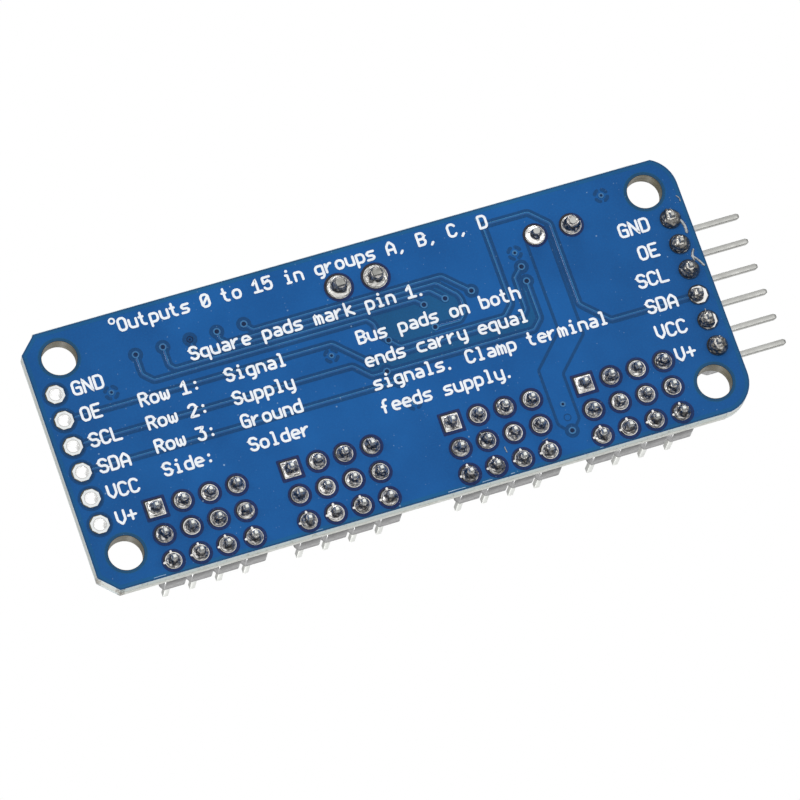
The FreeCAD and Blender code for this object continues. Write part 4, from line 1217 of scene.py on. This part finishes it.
def component_side_legend():
    ink = Relief(COMPONENT_SIDE, 0.045, 0.012)
    for text, baseline in (("servo driver", 2.0), ("16 channels", 0.1)):
        write(ink, text, 6.0, baseline, 1.15, 0.84, 0.19)
    for row, label in zip(SIDE_ROWS, PIN_LABELS):
        for u in (-27.75, 28.15 - len(label) * 0.72):
            write(ink, label, u, row - 0.42, 0.85, 0.72, LEGEND_LINE)
    for y, label in zip(ROW_Y, ("PWM", "V+", "GND")):
        centred(ink, label, 0.0, y, 1.0, 0.86)
    for channel in range(len(GROUPS) * COLUMNS):
        offset = (-3.81, -2.2, 2.2, 3.81)[channel % COLUMNS]
        centred(ink, str(channel), GROUP_X[channel // COLUMNS] + offset, -4.45, 0.72, 0.54)
    for index, x in enumerate(JUMPER_X):
        centred(ink, "A" + str(index), x, 11.45, 0.8, 0.7)
    for text, u, v, height, advance in (
            ("+", -4.9, 9.4, 1.3, 0), ("-", 4.4, 9.4, 1.0, 0),
            ("+", CAP_CENTRE.x + 5.2, CAP_CENTRE.y + 0.6, 1.2, 0), ("ON", -16.4, 1.2, 0.8, 0.7)):
        centred(ink, text, u, v, height, advance)
    ink.line(arc(CAP_CENTRE.x, CAP_CENTRE.y, 4.2, -math.pi * 4 / 3, math.pi * 5 / 3, 50), LEGEND_LINE)
    ink.line([(-3.8, 12.0), (-3.8, 5.0), (3.8, 5.0), (3.8, 12.0)], LEGEND_LINE)
    for end in (-5.05, 5.05):
        u = CHIP_CENTRE.x + end
        ink.line([(u, CHIP_CENTRE.y - 2.1), (u, CHIP_CENTRE.y + 2.1)], LEGEND_LINE)
    ink.disc(CHIP_CENTRE.x - 5.1, CHIP_CENTRE.y - 2.9, 0.2, 16)
    for u, v in SMALL_PARTS:
        for edge in (-0.82, 0.82):
            ink.line([(u - 0.35, v + edge), (u + 0.35, v + edge)], 0.12)
    v = TRANSISTOR.y + 0.8
    for start, end in ((-1.62, -1.0), (1.0, 1.62)):
        ink.line([(TRANSISTOR.x + start, v), (TRANSISTOR.x + end, v)], 0.12)
    ink.finish("component_side_legend", INK)


def capacitor_score_lines():
    """Two crossed dark lines on top of the capacitor, painted shade where it is scored to vent."""
    top = node_box("capacitor_can")[1].z - BOARD_HIGH.z
    scores = Relief(COMPONENT_SIDE, top + 0.012, 0.0, top - 0.03)
    for turn in (math.pi / 4, math.pi * 3 / 4):
        scores.line([
            (CAP_CENTRE.x + reach * math.cos(turn), CAP_CENTRE.y + reach * math.sin(turn))
            for reach in (-2.5, 2.5)], 0.16)
    scores.finish("capacitor_score_lines", GROOVE_SHADE_ALUMINIUM, "can_aluminium")


# ------------------------------------------------------------------ rounded copies of CAD parts

SCREW_HEAD_LOW = 9.2
SHANK_LIMIT = 1.1
SHANK_SHRINK = 0.95


def rounded_copy(node, width, material, body="board"):
    """Copy of a CAD node with its sharp edges rounded, shown in its place."""
    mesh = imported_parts[node].data.copy()
    mesh.name = node + "_rounded"
    work = bmesh.new()
    work.from_mesh(mesh)
    bmesh.ops.remove_doubles(work, verts=work.verts, dist=1e-7)
    bmesh.ops.dissolve_limit(work, angle_limit=math.radians(0.5), verts=work.verts, edges=work.edges)
    sharp = [
        edge for edge in work.edges
        if len(edge.link_faces) == 2 and edge.calc_face_angle(0) > math.radians(32)]
    bmesh.ops.bevel(
        work, geom=sharp, offset=width * MM, segments=2, profile=0.5, affect="EDGES", clamp_overlap=True)
    work.to_mesh(mesh)
    work.free()
    smooth(mesh, 50)
    piece = place_piece(mesh, node + "_rounded", material, body)
    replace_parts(piece, node)
    return piece


def clamp_screw(pole):
    """Clamp screw whose shank runs clear of the thread and the window of its cage."""
    node = "clamp_screw_" + pole
    centre = (node_centre(node) * MM).xy
    piece = rounded_copy(node, 0.08, STEEL, "screw_" + pole)
    for vertex in piece.data.vertices:
        offset = vertex.co.xy - centre
        if vertex.co.z < (SCREW_HEAD_LOW + 0.01) * MM and offset.length < SHANK_LIMIT * MM:
            vertex.co.xy = centre + offset * SHANK_SHRINK


def lens_material():
    lens = Finish("light_lens", Roughness=0.12, Transmission_Weight=0.7, IOR=1.5)
    lens.colour(lens.mottled(0.4, (0.62, 0.85, 0.55), (0.80, 0.95, 0.72)))
    return lens.material


# Servo strips and pins, as (start of the node's name, rounding, material), for each servo group.
SERVO_ROWS = [
    ("signal_strip_", 0.1, YELLOW), ("power_strip_", 0.1, RED), ("ground_strip_", 0.1, BLACK),
    ("servo_pins_", 0.04, POST_TIN)]
# Other CAD nodes shown with rounded edges, as (node, rounding, material).
HEADER_AND_HOUSING = [
    ("bus_header_strip", 0.1, BLACK), ("bus_header_pins", 0.04, PIN_TIN), ("terminal_housing", 0.12, GREEN)]
SMALLER_PARTS = [
    ("terminal_contacts", 0.12, CONTACT_TIN), ("capacitor_can", 0.1, ALUMINIUM),
    ("capacitor_sleeve", 0.03, SLEEVE), ("driver_chip", 0.05, EPOXY), ("polarity_transistor", 0.05, EPOXY),
    ("driver_chip_leads", 0.02, PIN_TIN), ("polarity_transistor_leads", 0.03, PIN_TIN),
    ("output_resistor_arrays", 0.04, GLAZE), ("output_resistor_array_ends", 0.04, PIN_TIN),
    ("chip_resistors", 0.04, GLAZE), ("chip_resistors_ends", 0.05, PIN_TIN),
    ("ceramic_capacitors", 0.06, CERAMIC), ("ceramic_capacitors_ends", 0.06, PIN_TIN),
    ("power_light_base", 0.03, LIGHT_BASE), ("power_light_ends", 0.03, PIN_TIN),
    ("power_light_lens", 0.05, lens_material())]
# CAD nodes shown as they are.
PLAIN = {
    "circuit_board": BOARD, "breakout_pad_barrels": PLATED_PAD, "capacitor_leads": PIN_TIN,
    "capacitor_seal": RUBBER, "capacitor_winding": ALUMINIUM}


def cad_parts():
    """Finishes for every CAD node, rounded where the real edges are round."""
    for name in GROUPS:
        for row, width, material in SERVO_ROWS:
            rounded_copy(row + name, width, material)
    for entry in HEADER_AND_HOUSING:
        rounded_copy(*entry)
    for pole in ("positive", "negative"):
        clamp_screw(pole)
        rounded_copy("clamp_cage_" + pole, 0.06, NICKEL, "cage_" + pole)
    for entry in SMALLER_PARTS:
        rounded_copy(*entry)
    for node, material in PLAIN.items():
        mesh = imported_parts[node].data
        mesh.materials.clear()
        mesh.materials.append(material)


# ------------------------------------------------------------------ studio

CAMERA_PLACE = Vector((134.17, -183.09, -607.2)) * MM
CAMERA_TARGET = Vector((-0.057, -2.994, 0.0)) * MM
CAMERA_UP = Vector((-0.27142, 0.90472, -0.32835))
CAMERA_LENS = 325.8


def add_object(name, data):
    made = bpy.data.objects.new(name, data)
    bpy.context.scene.collection.objects.link(made)
    return made


def add_camera():
    data = bpy.data.cameras.new("camera")
    data.lens = CAMERA_LENS
    data.sensor_width = 36.0
    data.clip_start = 0.01
    data.clip_end = 10.0
    camera = add_object("camera", data)
    back = (CAMERA_PLACE - CAMERA_TARGET).normalized()
    right = CAMERA_UP.cross(back).normalized()
    turn = Matrix((right, back.cross(right), back)).transposed()
    camera.matrix_world = Matrix.Translation(CAMERA_PLACE) @ turn.to_4x4()
    bpy.context.scene.camera = camera


# Small lamps that put a glint on solder and pins: place and size in metres, and power in watts.
LAMPS = {
    "underside_lamp_rear": ((-0.12, 0.54, -0.19), (0.30, 0.06), 0.9),
    "underside_lamp_left": ((0.42, 0.20, -0.42), (0.10, 0.22), 0.6),
    "underside_lamp_right": ((-0.40, -0.02, -0.46), (0.08, 0.20), 0.5),
    "topside_lamp": ((0.25, -0.35, 0.50), (0.16, 0.16), 1.8),
}


def add_lamps():
    """Area lamps that face the object."""
    for name, (place, size, watts) in LAMPS.items():
        data = bpy.data.lights.new(name, "AREA")
        data.shape = "RECTANGLE"
        data.size, data.size_y = size
        data.energy = watts
        light = add_object(name, data)
        place = Vector(place)
        turn = place.to_track_quat("Z", "Y").to_matrix().to_4x4()
        light.matrix_world = Matrix.Translation(place) @ turn
        light.visible_camera = False


# Height and half size of the floor, in metres.
FLOOR_Z = -0.74
FLOOR_HALF = 6.0
# The walls reach up to one steepness and the soft boxes start at the next.
WALL_TOP = 0.45
BOX_RIM = 0.8
WALL_RADIANCE = 0.22
BOX_RADIANCE = 1.18
# Share of the upper box's light that comes from the rear, and where it falls to that share.
REAR_SHARE = 0.45
FRONT_TO_REAR = (-0.12, 0.2)
# Tone of the sweep at the horizon and how high it turns white.
HORIZON_TONE = 0.8
SWEEP_TOP = 0.3
WHITE = (1.0, 1.0, 1.0)


def add_world():
    """Studio light of soft boxes above and below with dimmer walls, and a plain white sweep behind.

    The box above hangs towards the front, so ends of parts that turn away from it stay dark.
    """
    world = bpy.data.worlds.new("studio")
    bpy.context.scene.world = world
    world.use_nodes = True
    sky = Graph(world.node_tree)
    _, y, z = sky.axes(sky.node("TexCoord").outputs["Generated"])
    steep = sky.math("ABSOLUTE", z)
    soft_box = sky.span(steep, WALL_TOP, BOX_RIM, WALL_RADIANCE, BOX_RADIANCE, "SMOOTHSTEP")
    towards_front = sky.span(y, *FRONT_TO_REAR, 1.0, REAR_SHARE, "SMOOTHSTEP")
    share = sky.math("MAXIMUM", towards_front, sky.math("LESS_THAN", z, 0.0))
    seen = sky.span(z, 0.0, SWEEP_TOP, HORIZON_TONE, 1.0, "SMOOTHSTEP")
    sweep = sky.node("Background", {"Color": WHITE, "Strength": seen})
    lighting = sky.tree.nodes["Background"]
    sky.feed(lighting.inputs["Color"], WHITE)
    sky.feed(lighting.inputs["Strength"], sky.times(soft_box, share))
    is_seen = sky.node("LightPath").outputs["Is Camera Ray"]
    either = sky.node("MixShader", {"Fac": is_seen, 1: lighting.outputs[0], 2: sweep.outputs[0]})
    sky.feed(sky.tree.nodes["World Output"].inputs["Surface"], either.outputs[0])


def add_floor():
    """Pale floor well below the camera, which looks up at the solder side."""
    mesh = bpy.data.meshes.new("floor")
    corners = rectangle(0, 0, 2 * FLOOR_HALF, 2 * FLOOR_HALF)
    mesh.from_pydata([(x, y, FLOOR_Z) for x, y in corners], [], [(0, 1, 2, 3)])
    floor = add_object("floor", mesh)
    paint = Finish("floor_paint", Roughness=0.95, Specular_IOR_Level=0.1)
    paint.colour(paint.mottled(300.0, (0.87, 0.87, 0.87), (0.89, 0.89, 0.89)))
    mesh.materials.append(paint.material)
    floor.visible_diffuse = False
    floor.visible_glossy = False
    floor.visible_shadow = False


bpy.context.scene.view_settings.view_transform = "Standard"
add_camera()
add_world()
add_floor()
add_lamps()
cad_parts()
solder_side_copper()
solder_side_pads()
breakout_clearances(SOLDER_SIDE, "below")
breakout_clearances(COMPONENT_SIDE, "above")
all_solder()
solder_splashes()
edge_scratches()
solder_side_legend()
component_side_copper()
component_side_pads()
component_side_legend()
capacitor_score_lines()
